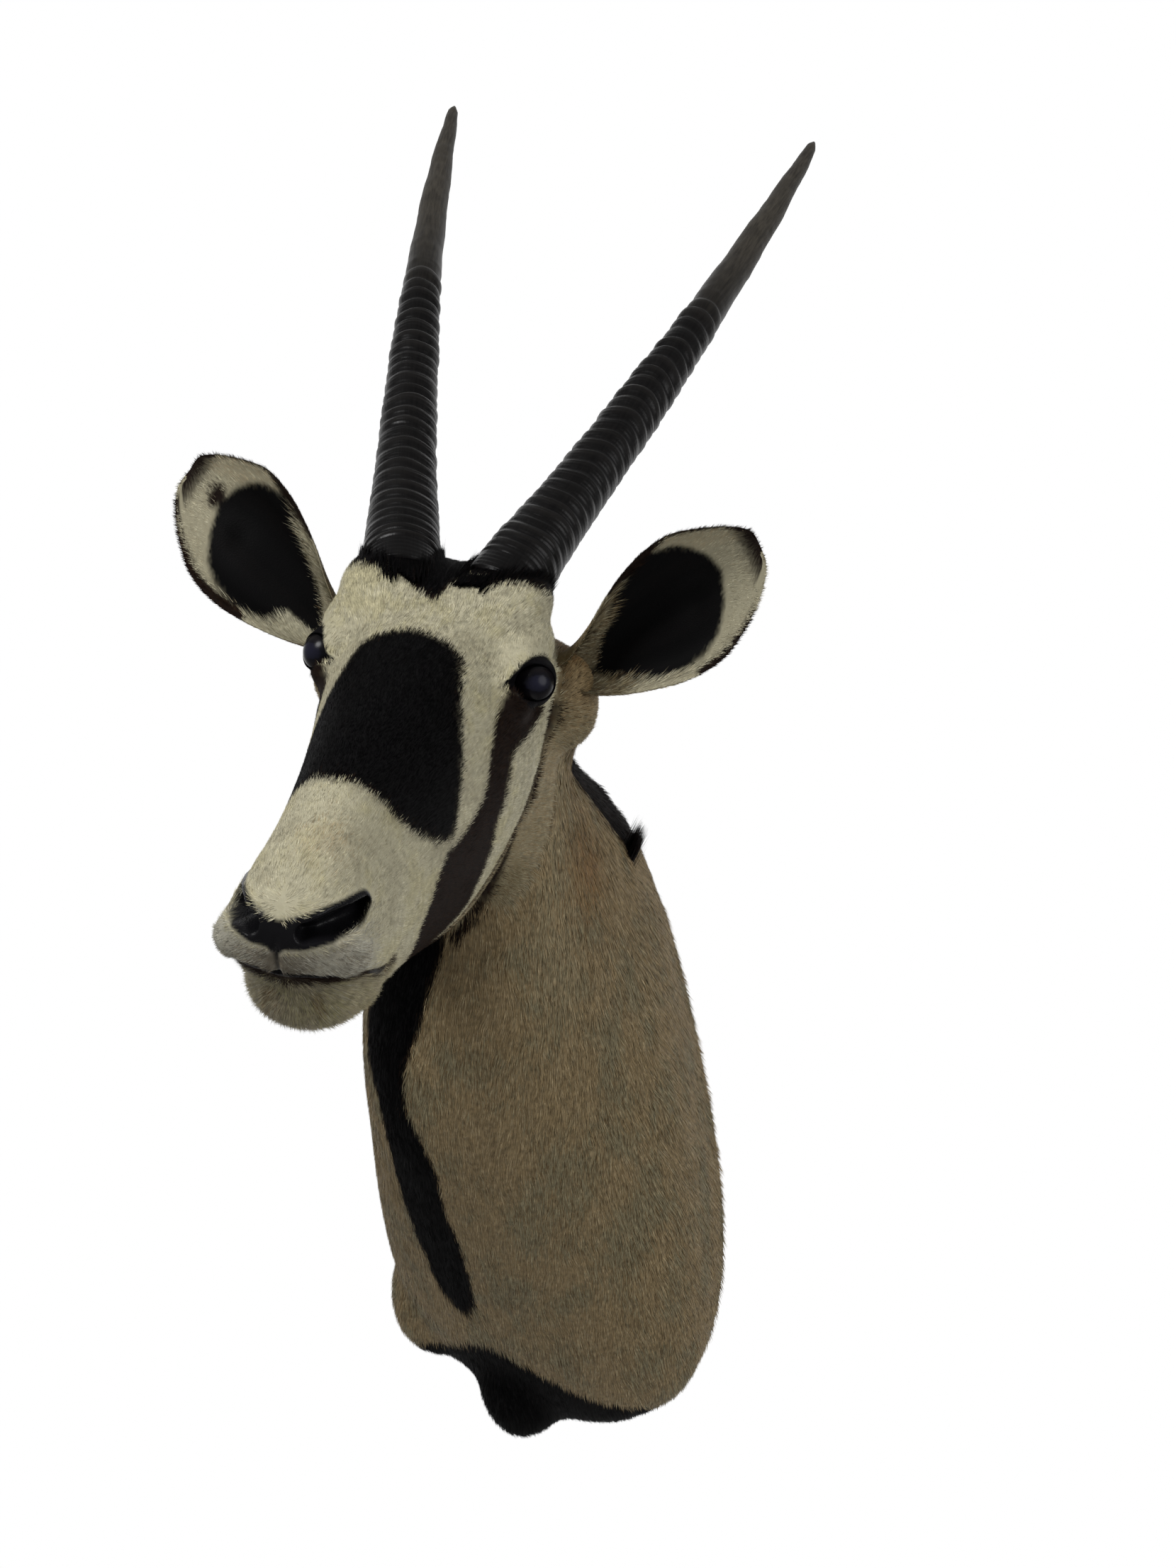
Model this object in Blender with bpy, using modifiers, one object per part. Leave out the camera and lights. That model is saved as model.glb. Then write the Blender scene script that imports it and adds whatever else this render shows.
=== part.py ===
"""Gemsbok shoulder mount: the hide of the head, neck and shoulders on its form, two ringed
horns, two glass eyes, and the wooden back board with the steel plate that it hangs by.

Metres, +Z up. The origin is on the wall, at mid height of the back board. +X is the
animal's left, and the mount stands out from the wall towards -Y.
"""
import math

import bmesh
import bpy
import numpy as np
from mathutils import Matrix, Vector

# ---------------------------------------------------------------- driving dimensions
GAP = 0.0003                    # clearance between two pieces that touch
SHARP_ANGLE = math.radians(40)  # edges sharper than this are shaded as edges
OVERCUT = 0.001                 # how far a cutter runs past the face that it opens

# The head has a frame of its own: its origin lies on the face midway between the eyes,
# "left" is the animal's left, "up" runs up the face to the poll, "out" leaves the face.
HEAD_ORIGIN = Vector((0.095, -0.525, 0.424))
HEAD_TURN = math.radians(26.6)      # the head looks this far to the animal's left
FACE_SLOPE = math.radians(42.6)     # the face rises this steeply towards the poll

# Ribs of the head, nose to poll: place up the face, height of the top and of the
# underside, and half widths near the top, at mid height and near the underside.
HEAD_RIBS = (
    (-0.266, -0.034, -0.062, 0.012, 0.016, 0.012),
    (-0.261, -0.023, -0.074, 0.021, 0.028, 0.022),
    (-0.251, -0.014, -0.088, 0.029, 0.038, 0.030),
    (-0.236, -0.007, -0.108, 0.034, 0.045, 0.038),
    (-0.212, -0.002, -0.126, 0.032, 0.046, 0.042),
    (-0.180, 0.002, -0.146, 0.030, 0.047, 0.047),
    (-0.140, 0.005, -0.170, 0.035, 0.052, 0.054),
    (-0.100, 0.007, -0.195, 0.044, 0.059, 0.062),
    (-0.050, 0.006, -0.214, 0.058, 0.069, 0.069),
    (0.000, 0.004, -0.219, 0.070, 0.080, 0.067),
    (0.050, 0.004, -0.214, 0.071, 0.081, 0.064),
    (0.090, 0.002, -0.200, 0.066, 0.079, 0.061),
    (0.125, -0.012, -0.150, 0.046, 0.068, 0.056),
    (0.150, -0.040, -0.110, 0.024, 0.040, 0.034),
)
HEAD_SQUARENESS_ABOVE = 0.72
HEAD_SQUARENESS_BELOW = 0.50

# Ribs of the neck and chest, wall to throat: the point on the nape (y, z), the point on
# the throat line (y, z), sideways shift, half width, how much wider below than above, and
# the power that squares the sides.
NECK_RIBS = (
    (-0.002, 0.274, -0.002, -0.258, 0.000, 0.156, 0.60, 0.82),
    (-0.040, 0.300, -0.075, -0.256, 0.000, 0.163, 0.56, 0.74),
    (-0.080, 0.328, -0.150, -0.198, 0.000, 0.162, 0.50, 0.76),
    (-0.120, 0.348, -0.215, -0.122, 0.002, 0.149, 0.42, 0.84),
    (-0.165, 0.362, -0.285, -0.035, 0.008, 0.126, 0.32, 0.95),
    (-0.215, 0.376, -0.345, 0.048, 0.016, 0.107, 0.22, 1.00),
    (-0.275, 0.394, -0.376, 0.130, 0.023, 0.094, 0.12, 1.00),
    (-0.335, 0.422, -0.386, 0.220, 0.027, 0.088, 0.00, 1.00),
    (-0.390, 0.446, -0.415, 0.310, 0.030, 0.084, 0.00, 1.00),
)

BODY_OVERHANG = 0.030           # the body is drawn past the wall and cut off there
RIM_SET_BACK = 0.002            # the edge of the hide stops this short of the wall

# Rounded masses that swell the hide: centre, radii. The head's are in the head's frame
# and come in pairs where they lie to one side.
BRISKET = ((0.0, -0.078, -0.195), (0.055, 0.062, 0.092))
LEG_TOPS = (
    ((0.110, -0.045, -0.148), (0.054, 0.062, 0.080)),
    ((-0.118, -0.072, -0.168), (0.058, 0.070, 0.080)),    # pushed forward by the turn
)
HEAD_MASSES = (
    ((0.040, 0.074, -0.013), (0.042, 0.052, 0.028)),      # foot of the horn
    ((0.076, 0.092, -0.096), (0.042, 0.042, 0.040)),      # root of the ear
    ((0.050, 0.106, -0.142), (0.050, 0.054, 0.078)),      # behind the jaw
)
FACE_MASSES = (
    ((0.058, 0.048, -0.034), (0.028, 0.040, 0.027)),      # brow over the eye
    ((0.066, 0.020, -0.042), (0.0200, 0.032, 0.026)),     # lids
    ((0.022, -0.242, -0.050), (0.024, 0.018, 0.018)),     # upper lip
)
CHIN = ((0.0, -0.218, -0.092), (0.035, 0.044, 0.030))

# Mane: a stiff ridge of hair along the nape, from behind the ears to the wall:
# place (y), sideways shift, foot (z) and crest (z)
MANE_RIBS = (
    (-0.335, 0.034, 0.400, 0.430),
    (-0.275, 0.021, 0.376, 0.409),
    (-0.215, 0.012, 0.356, 0.396),
    (-0.165, 0.006, 0.342, 0.383),
    (-0.116, 0.002, 0.328, 0.369),
    (-0.070, 0.000, 0.304, 0.347),
    (-0.042, 0.000, 0.284, 0.328),
    (-0.030, 0.000, 0.276, 0.322),
    (-0.022, 0.000, 0.270, 0.339),      # the tuft that stands up at the withers
    (-0.014, 0.000, 0.264, 0.304),
    (-0.004, 0.000, 0.258, 0.286),
)
MANE_FOOT_WIDTH = 0.020
MANE_CREST_WIDTH = 0.007

# Nostrils, left one: centre, radii, and the way the slit runs
NOSTRIL_CENTRE = (0.031, -0.247, -0.026)
NOSTRIL_RADII = (0.020, 0.0090, 0.0070)
NOSTRIL_RUN = Vector((0.030, 0.022, 0.013))

# Mouth line, left half from the middle of the lips to the corner
MOUTH_LINE = ((0.000, -0.263, -0.063), (0.014, -0.260, -0.064), (0.028, -0.249, -0.068),
              (0.039, -0.232, -0.077), (0.045, -0.212, -0.088))
MOUTH_GROOVE_RADIUS = 0.0030

# The fused skins are smoothed well, the small masses of the face are added, and the whole
# is smoothed a little more and thinned out.
BODY_VOXEL = 0.0050
BODY_SMOOTHING = 34
FACE_VOXEL = 0.0040
FACE_SMOOTHING = 6
HIDE_SHARE_KEPT = 0.023         # share of the fused faces that the plain solid keeps

# Ears, left one; the right one is its mirror image in the head's frame.
EAR_ROOT = Vector((0.072, 0.100, -0.080))
EAR_RUN = Vector((0.84, 0.14, 0.50))            # root to tip
EAR_FACING = Vector((0.28, -0.90, 0.30))        # the way the cup opens
EAR_TWIST = {1: 0.0, -1: math.radians(-20)}      # the right ear is turned further in
EAR_LENGTH = 0.185
EAR_THICKNESS = 0.0055
# share of the length, width round the curl, degrees of curl, shift towards the upper edge
EAR_RIBS = (
    (-0.10, 0.066, 320, 0.000),
    (0.04, 0.070, 300, -0.004),
    (0.14, 0.080, 248, -0.008),
    (0.26, 0.098, 194, -0.008),
    (0.40, 0.115, 152, -0.002),
    (0.55, 0.125, 128, 0.005),
    (0.70, 0.119, 110, 0.0105),
    (0.82, 0.092, 96, 0.0135),
    (0.92, 0.057, 84, 0.018),
    (1.00, 0.016, 76, 0.027),
)
EAR_STEPS_ACROSS = 8

# Horns, left one; the right one is its mirror image in the head's frame.
HORN_FOOT = Vector((0.0405, 0.097, -0.008))
HORN_SPREAD = {1: math.radians(16.5), -1: math.radians(14.6)}    # away from the midline
HORN_FORWARD = math.radians(14.8)       # out of the plane of the face
HORN_BEND_IN = 0.076                    # inward bend, times the length squared
HORN_BEND_BACK = 0.021
HORN_LENGTH = 0.742
HORN_SINK = 0.020                       # how far the horn goes down into the hide
# distance from the foot, diameter over the rings
HORN_GIRTHS = ((-0.03, 0.0595), (0.027, 0.0570), (0.07, 0.0515), (0.135, 0.0468), (0.20, 0.0444),
               (0.27, 0.0410), (0.345, 0.0366), (0.40, 0.0325), (0.47, 0.0293), (0.543, 0.0262),
               (0.606, 0.0222), (0.660, 0.0178), (0.706, 0.0139), (0.730, 0.0106), (0.742, 0.0040))
RING_COUNT = 27
RING_STRETCH = 0.381                    # the rings end this far up
RING_CROWDING = 1.25                    # over one, the lower rings lie closer together
RING_CREST_SHARE = 0.62                 # of each ring's pitch, valley to crest
RING_DEPTH = 0.0018
PLAIN_STEPS = 11                        # along the smooth end
HORN_SIDES = 10

EYE_CENTRE = Vector((0.0755, 0.0215, -0.0425))
EYE_RADIUS = 0.0160
EYE_SEGMENTS = 14

# Back board and the plate that hangs it
BOARD_THICKNESS = 0.018
BOARD_INSET = 0.020             # from the edge of the hide
HANGER_WIDTH = 0.064
HANGER_DEPTH = 0.026
HANGER_THICKNESS = 0.0018
HANGER_RECESS = 0.0005          # the plate lies this far below the back of the board
HANGER_HEIGHT = 0.175           # above the origin
HANGER_SCREW_OUT = 0.024        # each screw from the middle of the plate
KEYHOLE_HEAD_RADIUS = 0.0050    # lets the head of the wall screw in
KEYHOLE_SLOT_RADIUS = 0.0025    # holds its shank
KEYHOLE_DROP = 0.004            # the round hole below the middle of the plate
KEYHOLE_SLOT_TOP = 0.0065       # the end of the slot above it
KEYHOLE_WELL_DEPTH = 0.010      # room for the screw's head in the board
KEYHOLE_WELL_RADIUS = 0.011
SCREW_HEAD_RADIUS = 0.0036
SCREW_SHANK_RADIUS = 0.0017
SCREW_HEAD_DEPTH = 0.0022
SCREW_LENGTH = 0.014
SCREW_POINT_LENGTH = 0.003
SCREW_POINT_RADIUS = 0.0004


# ---------------------------------------------------------------- the frame of the head
def head_frame():
    """Matrix that takes the head's own (left, up, out) to world coordinates."""
    sin_turn, cos_turn = math.sin(HEAD_TURN), math.cos(HEAD_TURN)
    sin_slope, cos_slope = math.sin(FACE_SLOPE), math.cos(FACE_SLOPE)
    left = Vector((cos_turn, sin_turn, 0.0))
    up = Vector((-sin_turn * cos_slope, cos_turn * cos_slope, sin_slope))
    out = left.cross(up)
    axes = Matrix((left, up, out)).transposed()
    return Matrix.Translation(HEAD_ORIGIN) @ axes.to_4x4()


HEAD = head_frame()


def on_head(point, side=1):
    """World place of a point of the head; side -1 mirrors it to the animal's right."""
    return HEAD @ Vector((side * point[0], point[1], point[2]))


# ---------------------------------------------------------------- collections, materials
def new_collection(name):
    collection = bpy.data.collections.new(name)
    bpy.context.scene.collection.children.link(collection)
    return collection


def new_material(name, colour, roughness, metallic=0.0):
    material = bpy.data.materials.new(name)
    material.use_nodes = True
    shader = material.node_tree.nodes["Principled BSDF"]
    shader.inputs["Base Color"].default_value = (*colour, 1.0)
    shader.inputs["Roughness"].default_value = roughness
    shader.inputs["Metallic"].default_value = metallic
    return material


def new_object(name, bm, collection, material=None):
    """Object made from a bmesh whose faces are turned outwards first."""
    bmesh.ops.recalc_face_normals(bm, faces=bm.faces)
    mesh = bpy.data.meshes.new(name)
    bm.to_mesh(mesh)
    bm.free()
    mesh.shade_smooth()
    mesh.set_sharp_from_angle(angle=SHARP_ANGLE)
    obj = bpy.data.objects.new(name, mesh)
    collection.objects.link(obj)
    if material:
        mesh.materials.append(material)
    return obj


def new_cutter(name, bm):
    cutter = new_object(name, bm, cutters)
    cutter.hide_render = True
    cutter.display_type = 'WIRE'
    return cutter


def add_boolean(obj, other, operation):
    modifier = obj.modifiers.new(f"{operation.lower()}_{other.name}", 'BOOLEAN')
    modifier.object = other
    modifier.operation = operation
    modifier.solver = 'EXACT'


# ---------------------------------------------------------------- shapes used more than once
def add_loft(bm, rings):
    """Closed skin through rings of equal point count, capped at both ends."""
    rows = [[bm.verts.new(point) for point in ring] for ring in rings]
    for row, next_row in zip(rows, rows[1:]):
        count = len(row)
        for i in range(count):
            j = (i + 1) % count
            bm.faces.new((row[i], row[j], next_row[j], next_row[i]))
    bm.faces.new(rows[0])
    bm.faces.new(rows[-1])


def add_ellipsoid(bm, frame, centre, radii):
    place = frame @ Matrix.Translation(centre) @ Matrix.Diagonal((*radii, 1.0))
    bmesh.ops.create_uvsphere(bm, u_segments=24, v_segments=16, radius=1.0, matrix=place)


def add_cylinder(bm, centre, radius, length, sides=16):
    """Cylinder that lies along Y."""
    place = Matrix.Translation(centre) @ Matrix.Rotation(math.pi / 2, 4, 'X')
    bmesh.ops.create_cone(bm, cap_ends=True, segments=sides, radius1=radius, radius2=radius,
                          depth=length, matrix=place)


def add_box(bm, centre, size):
    place = Matrix.Translation(centre) @ Matrix.Diagonal((*size, 1.0))
    bmesh.ops.create_cube(bm, size=1.0, matrix=place)


def smooth_rows(rows, steps):
    """More rows between the given ones, on a smooth curve through each column."""
    table = np.array(rows, dtype=float)
    padded = np.vstack((2 * table[0] - table[1], table, 2 * table[-1] - table[-2]))
    finer = []
    for i in range(len(table) - 1):
        before, start, end, after = padded[i:i + 4]
        for t in np.arange(steps) / steps:
            finer.append(0.5 * (2 * start + (end - before) * t
                                + (2 * before - 5 * start + 4 * end - after) * t ** 2
                                + (3 * start - before - 3 * end + after) * t ** 3))
    finer.append(table[-1])
    return finer


# ---------------------------------------------------------------- hide
RIB_POINTS = 32


def head_ring(rib):
    up, top, bottom, upper_half, middle_half, lower_half = rib
    ring = []
    for i in range(RIB_POINTS):
        angle = 2 * math.pi * i / RIB_POINTS
        level = (1 + math.sin(angle)) / 2
        half = (lower_half * (1 - level) * (1 - 2 * level) + middle_half * 4 * level * (1 - level)
                + upper_half * level * (2 * level - 1))
        squareness = HEAD_SQUARENESS_ABOVE if math.sin(angle) > 0 else HEAD_SQUARENESS_BELOW
        across = math.copysign(abs(math.cos(angle)) ** squareness, math.cos(angle))
        ring.append(on_head((half * across, up, bottom + (top - bottom) * level)))
    return ring


def neck_ring(rib):
    nape_y, nape_z, throat_y, throat_z, shift, half, fullness, squareness = rib
    nape = Vector((shift, nape_y, nape_z))
    throat = Vector((shift, throat_y, throat_z))
    # the egg-shaped rib is widest where its half width has its peak
    peak = 0.0
    if fullness:
        peak = (1 - math.sqrt(1 + 8 * fullness ** 2)) / (4 * fullness)
    widest = math.sqrt(1 - peak ** 2) * (1 - fullness * peak)
    ring = []
    for i in range(RIB_POINTS):
        angle = 2 * math.pi * i / RIB_POINTS
        level = math.sin(angle)
        outward = math.copysign(abs(math.cos(angle)) ** squareness, math.cos(angle))
        across = half * outward * (1 - fullness * level) / widest
        ring.append(throat.lerp(nape, (1 + level) / 2) + Vector((across, 0.0, 0.0)))
    return ring


def body_form():
    """Head, neck and their large masses as overlapping closed skins in one mesh."""
    bm = bmesh.new()
    add_loft(bm, [head_ring(rib) for rib in smooth_rows(HEAD_RIBS, 3)])
    wall_rib = list(NECK_RIBS[0])
    wall_rib[0] = wall_rib[2] = BODY_OVERHANG
    add_loft(bm, [neck_ring(rib) for rib in [wall_rib] + smooth_rows(NECK_RIBS, 3)])
    world = Matrix.Identity(4)
    for centre, radii in (BRISKET, *LEG_TOPS):
        add_ellipsoid(bm, world, centre, radii)
    add_head_masses(bm, HEAD_MASSES)
    return bm


def face_form():
    """The small masses of the face."""
    bm = bmesh.new()
    add_head_masses(bm, FACE_MASSES)
    add_ellipsoid(bm, HEAD, *CHIN)
    return bm


def add_head_masses(bm, masses):
    for side in (1, -1):
        for centre, radii in masses:
            add_ellipsoid(bm, HEAD, (side * centre[0], *centre[1:]), radii)


def fuse(obj, voxel, rounds):
    """One closed skin from overlapping ones, smoothed over the given rounds."""
    remesh = obj.modifiers.new("fuse", 'REMESH')
    remesh.mode = 'VOXEL'
    remesh.voxel_size = voxel
    remesh.use_smooth_shade = True
    smooth = obj.modifiers.new("blend", 'SMOOTH')
    smooth.factor = 0.5
    smooth.iterations = rounds


def ear_axes(side):
    run = EAR_RUN.normalized()
    facing = (EAR_FACING - run * EAR_FACING.dot(run)).normalized()
    edge = run.cross(facing)
    if edge.y < 0:
        edge.negate()
    twist = Matrix.Rotation(EAR_TWIST[side], 3, run)
    turn = HEAD.to_3x3()
    axes = []
    for axis in (run, twist @ facing, twist @ edge):
        axes.append((turn @ Vector((side * axis.x, axis.y, axis.z))).normalized())
    return axes


def ear_shell(name, side):
    """One ear: a curled sheet, closed to a tube at the root and open towards the tip."""
    run, facing, edge = ear_axes(side)
    root = on_head(EAR_ROOT, side)
    bm = bmesh.new()
    rows = []
    for share, width, curl, shift in EAR_RIBS:
        half_curl = math.radians(curl) / 2
        radius = width / (2 * half_curl)
        row = []
        for i in range(EAR_STEPS_ACROSS + 1):
            angle = half_curl * (2 * i / EAR_STEPS_ACROSS - 1)
            offset = edge * (radius * math.sin(angle) + shift)
            offset += facing * radius * (1 - math.cos(angle))
            row.append(bm.verts.new(root + run * (share * EAR_LENGTH) + offset))
        rows.append(row)
    for row, next_row in zip(rows, rows[1:]):
        for i in range(EAR_STEPS_ACROSS):
            bm.faces.new((row[i], row[i + 1], next_row[i + 1], next_row[i]))
    ear = new_cutter(name, bm)
    solidify = ear.modifiers.new("thickness", 'SOLIDIFY')
    solidify.thickness = EAR_THICKNESS
    solidify.offset = 0.0
    solidify.use_even_offset = True
    return ear


def mane_ridge():
    """The standing hair of the nape as a low wall from behind the ears to the board."""
    bm = bmesh.new()
    rings = []
    for place, shift, foot, crest in MANE_RIBS:
        rings.append([Vector((shift - MANE_FOOT_WIDTH / 2, place, foot)),
                      Vector((shift + MANE_FOOT_WIDTH / 2, place, foot)),
                      Vector((shift + MANE_CREST_WIDTH / 2, place, crest)),
                      Vector((shift - MANE_CREST_WIDTH / 2, place, crest))])
    add_loft(bm, rings)
    return new_cutter("mane", bm)


def nostril_cutter(word, side):
    """Pit of one nostril, drawn out along the slit."""
    turn = NOSTRIL_RUN.to_track_quat('X', 'Z').to_matrix().to_4x4()
    mirror = Matrix.Diagonal((side, 1.0, 1.0, 1.0))
    frame = HEAD @ mirror @ Matrix.Translation(NOSTRIL_CENTRE) @ turn
    bm = bmesh.new()
    bmesh.ops.create_uvsphere(bm, u_segments=12, v_segments=8, radius=1.0,
                              matrix=frame @ Matrix.Diagonal((*NOSTRIL_RADII, 1.0)))
    return new_cutter(f"nostril_{word}", bm)


def mouth_cutter():
    """Groove of the closed mouth: a tube from corner to corner along the lips."""
    right_half = [(-x, y, z) for x, y, z in reversed(MOUTH_LINE[1:])]
    line = [tuple(point) for point in smooth_rows(right_half + list(MOUTH_LINE), 2)]
    curve = bpy.data.curves.new("mouth_line", 'CURVE')
    curve.dimensions = '3D'
    curve.bevel_depth = MOUTH_GROOVE_RADIUS
    curve.bevel_resolution = 1
    curve.use_fill_caps = True
    spline = curve.splines.new('POLY')
    spline.points.add(len(line) - 1)
    for point, place in zip(spline.points, line):
        point.co = (*on_head(place), 1.0)
    path = bpy.data.objects.new("mouth_line", curve)
    cutters.objects.link(path)
    depsgraph = bpy.context.evaluated_depsgraph_get()
    bm = bmesh.new()
    bm.from_mesh(bpy.data.meshes.new_from_object(path.evaluated_get(depsgraph)))
    bmesh.ops.remove_doubles(bm, verts=bm.verts, dist=0.00005)
    bpy.data.objects.remove(path)
    return new_cutter("mouth_groove", bm)


def make_hide():
    """The cape: body and face fused, then mane and ears added and all the pockets cut."""
    hide = new_object("cape", body_form(), parts,
                      new_material("tan_hair", (0.13, 0.09, 0.05), 0.85))
    fuse(hide, BODY_VOXEL, BODY_SMOOTHING)
    face = new_cutter("face_masses", face_form())
    fuse(face, FACE_VOXEL, FACE_SMOOTHING)
    add_boolean(hide, face, 'UNION')
    fuse(hide, FACE_VOXEL, FACE_SMOOTHING)
    decimate = hide.modifiers.new("plain", 'DECIMATE')
    decimate.ratio = HIDE_SHARE_KEPT
    add_boolean(hide, mane_ridge(), 'UNION')
    for side, word in ((1, "left"), (-1, "right")):
        add_boolean(hide, ear_shell(f"ear_{word}", side), 'UNION')
        add_boolean(hide, horn_pocket(word, side), 'DIFFERENCE')
        add_boolean(hide, eye_socket(word, side), 'DIFFERENCE')
        add_boolean(hide, nostril_cutter(word, side), 'DIFFERENCE')
    add_boolean(hide, mouth_cutter(), 'DIFFERENCE')
    add_boolean(hide, wall_cutter(), 'DIFFERENCE')
    add_boolean(hide, board_pocket(), 'DIFFERENCE')
    return hide


# ---------------------------------------------------------------- horns
def horn_point(distance, side):
    """Point on the horn's axis, at a distance from its foot."""
    spread = HORN_SPREAD[side]
    run = Vector((math.sin(spread), math.cos(spread) * math.cos(HORN_FORWARD),
                  math.cos(spread) * math.sin(HORN_FORWARD)))
    bend = Vector((-HORN_BEND_IN, 0.0, -HORN_BEND_BACK)) * distance ** 2
    return on_head(HORN_FOOT + run * distance + bend, side)


def horn_radius(distance):
    places, girths = zip(*HORN_GIRTHS)
    return float(np.interp(distance, places, girths)) / 2


def horn_ring(distance, radius, side, sides):
    """Circle round the horn's axis, square to it."""
    centre = horn_point(distance, side)
    run = (horn_point(distance + 0.001, side) - horn_point(distance - 0.001, side)).normalized()
    front = HEAD.to_3x3() @ Vector((0.0, 0.0, 1.0))
    front = (front - run * front.dot(run)).normalized()
    across = run.cross(front)
    ring = []
    for i in range(sides):
        angle = 2 * math.pi * i / sides
        ring.append(centre + (front * math.cos(angle) + across * math.sin(angle)) * radius)
    return ring


def ring_places():
    """Valley and crest of each ring, tight at the foot and wider spaced further up."""
    stops = [RING_STRETCH * (i / RING_COUNT) ** RING_CROWDING for i in range(RING_COUNT + 1)]
    places = []
    for start, end in zip(stops, stops[1:]):
        places.append((start, -RING_DEPTH))
        places.append((start + RING_CREST_SHARE * (end - start), 0.0))
    return places


def make_horn(name, side, material):
    bm = bmesh.new()
    plain_length = HORN_LENGTH - RING_STRETCH
    places = [(-HORN_SINK, -RING_DEPTH)] + ring_places()
    places += [(RING_STRETCH + plain_length * i / PLAIN_STEPS, 0.0) for i in range(PLAIN_STEPS + 1)]
    add_loft(bm, [horn_ring(place, horn_radius(place) + relief, side, HORN_SIDES)
                  for place, relief in places])
    return new_object(name, bm, parts, material)


def horn_pocket(word, side):
    """Room in the hide for the foot of the horn."""
    bm = bmesh.new()
    add_loft(bm, [horn_ring(place, horn_radius(place) + GAP, side, HORN_SIDES)
                  for place in (-HORN_SINK - GAP, 0.0, 0.03, 0.08, 0.15)])
    return new_cutter(f"pocket_horn_{word}", bm)


# ---------------------------------------------------------------- eyes
def make_eye(name, side, material):
    bm = bmesh.new()
    bmesh.ops.create_uvsphere(bm, u_segments=EYE_SEGMENTS, v_segments=10, radius=EYE_RADIUS,
                              matrix=Matrix.Translation(on_head(EYE_CENTRE, side)))
    return new_object(name, bm, parts, material)


def eye_socket(word, side):
    bm = bmesh.new()
    bmesh.ops.create_uvsphere(bm, u_segments=EYE_SEGMENTS, v_segments=10, radius=EYE_RADIUS + GAP,
                              matrix=Matrix.Translation(on_head(EYE_CENTRE, side)))
    return new_cutter(f"socket_{word}", bm)


# ---------------------------------------------------------------- back board and hanger
def board_outline(inset):
    """The hide's outline at the wall, drawn in by an inset."""
    outline = []
    wall_ring = neck_ring(NECK_RIBS[0])
    middle = sum(wall_ring, Vector()) / len(wall_ring)
    for point in wall_ring:
        spoke = Vector((point.x - middle.x, 0.0, point.z - middle.z))
        outline.append(point - spoke.normalized() * inset)
    return outline


def board_bmesh(inset, front, back):
    bm = bmesh.new()
    rings = [[Vector((point.x, y, point.z)) for point in board_outline(inset)]
             for y in (front, back)]
    add_loft(bm, rings)
    return bm


def wall_cutter():
    """Takes off all of the body that is drawn past the wall."""
    bm = bmesh.new()
    depth = 2 * BODY_OVERHANG
    add_box(bm, (0.0, depth / 2 - RIM_SET_BACK, 0.0), (0.6, depth, 0.8))
    return new_cutter("wall_face_cutter", bm)


def board_pocket():
    return new_cutter("board_pocket", board_bmesh(BOARD_INSET - GAP, -BOARD_THICKNESS - GAP, OVERCUT))


def plate_bmesh(margin, front, back):
    """Plate with round ends that lies in the back of the board."""
    bm = bmesh.new()
    radius = HANGER_DEPTH / 2 + margin
    reach = (HANGER_WIDTH - HANGER_DEPTH) / 2
    rings = []
    for y in (front, back):
        ring = []
        for i in range(16):
            angle = 2 * math.pi * (i + 0.5) / 16
            across = radius * math.cos(angle) + math.copysign(reach, math.cos(angle))
            ring.append(Vector((across, y, HANGER_HEIGHT + radius * math.sin(angle))))
        rings.append(ring)
    add_loft(bm, rings)
    return bm


def keyhole_cutter(front):
    """The round hole that the wall screw's head enters, and the slot that holds its shank."""
    bm = bmesh.new()
    outline = []
    for i in range(13):
        angle = math.radians(-240 + 300 * i / 12)
        outline.append((KEYHOLE_HEAD_RADIUS * math.cos(angle),
                        KEYHOLE_HEAD_RADIUS * math.sin(angle) - KEYHOLE_DROP))
    for i in range(6):
        angle = math.pi * i / 5
        outline.append((KEYHOLE_SLOT_RADIUS * math.cos(angle),
                        KEYHOLE_SLOT_RADIUS * math.sin(angle) + KEYHOLE_SLOT_TOP))
    add_loft(bm, [[Vector((x, y, HANGER_HEIGHT + z)) for x, z in outline]
                  for y in (front - OVERCUT, OVERCUT)])
    return new_cutter("keyhole", bm)


def screw_bmesh(across, margin):
    """Countersunk wood screw, head flush with the plate and point towards the room."""
    bm = bmesh.new()
    face = -HANGER_RECESS
    profile = ((SCREW_HEAD_RADIUS, face), (SCREW_SHANK_RADIUS, face - SCREW_HEAD_DEPTH),
               (SCREW_SHANK_RADIUS, face - SCREW_LENGTH + SCREW_POINT_LENGTH),
               (SCREW_POINT_RADIUS, face - SCREW_LENGTH - margin))
    if margin:
        profile = ((SCREW_HEAD_RADIUS, OVERCUT),) + profile
    rings = []
    for radius, y in profile:
        reach = radius + margin
        rings.append([Vector((across + reach * math.cos(math.pi * i / 6), y,
                              HANGER_HEIGHT + reach * math.sin(math.pi * i / 6)))
                      for i in range(12)])
    add_loft(bm, rings)
    return bm


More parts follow.
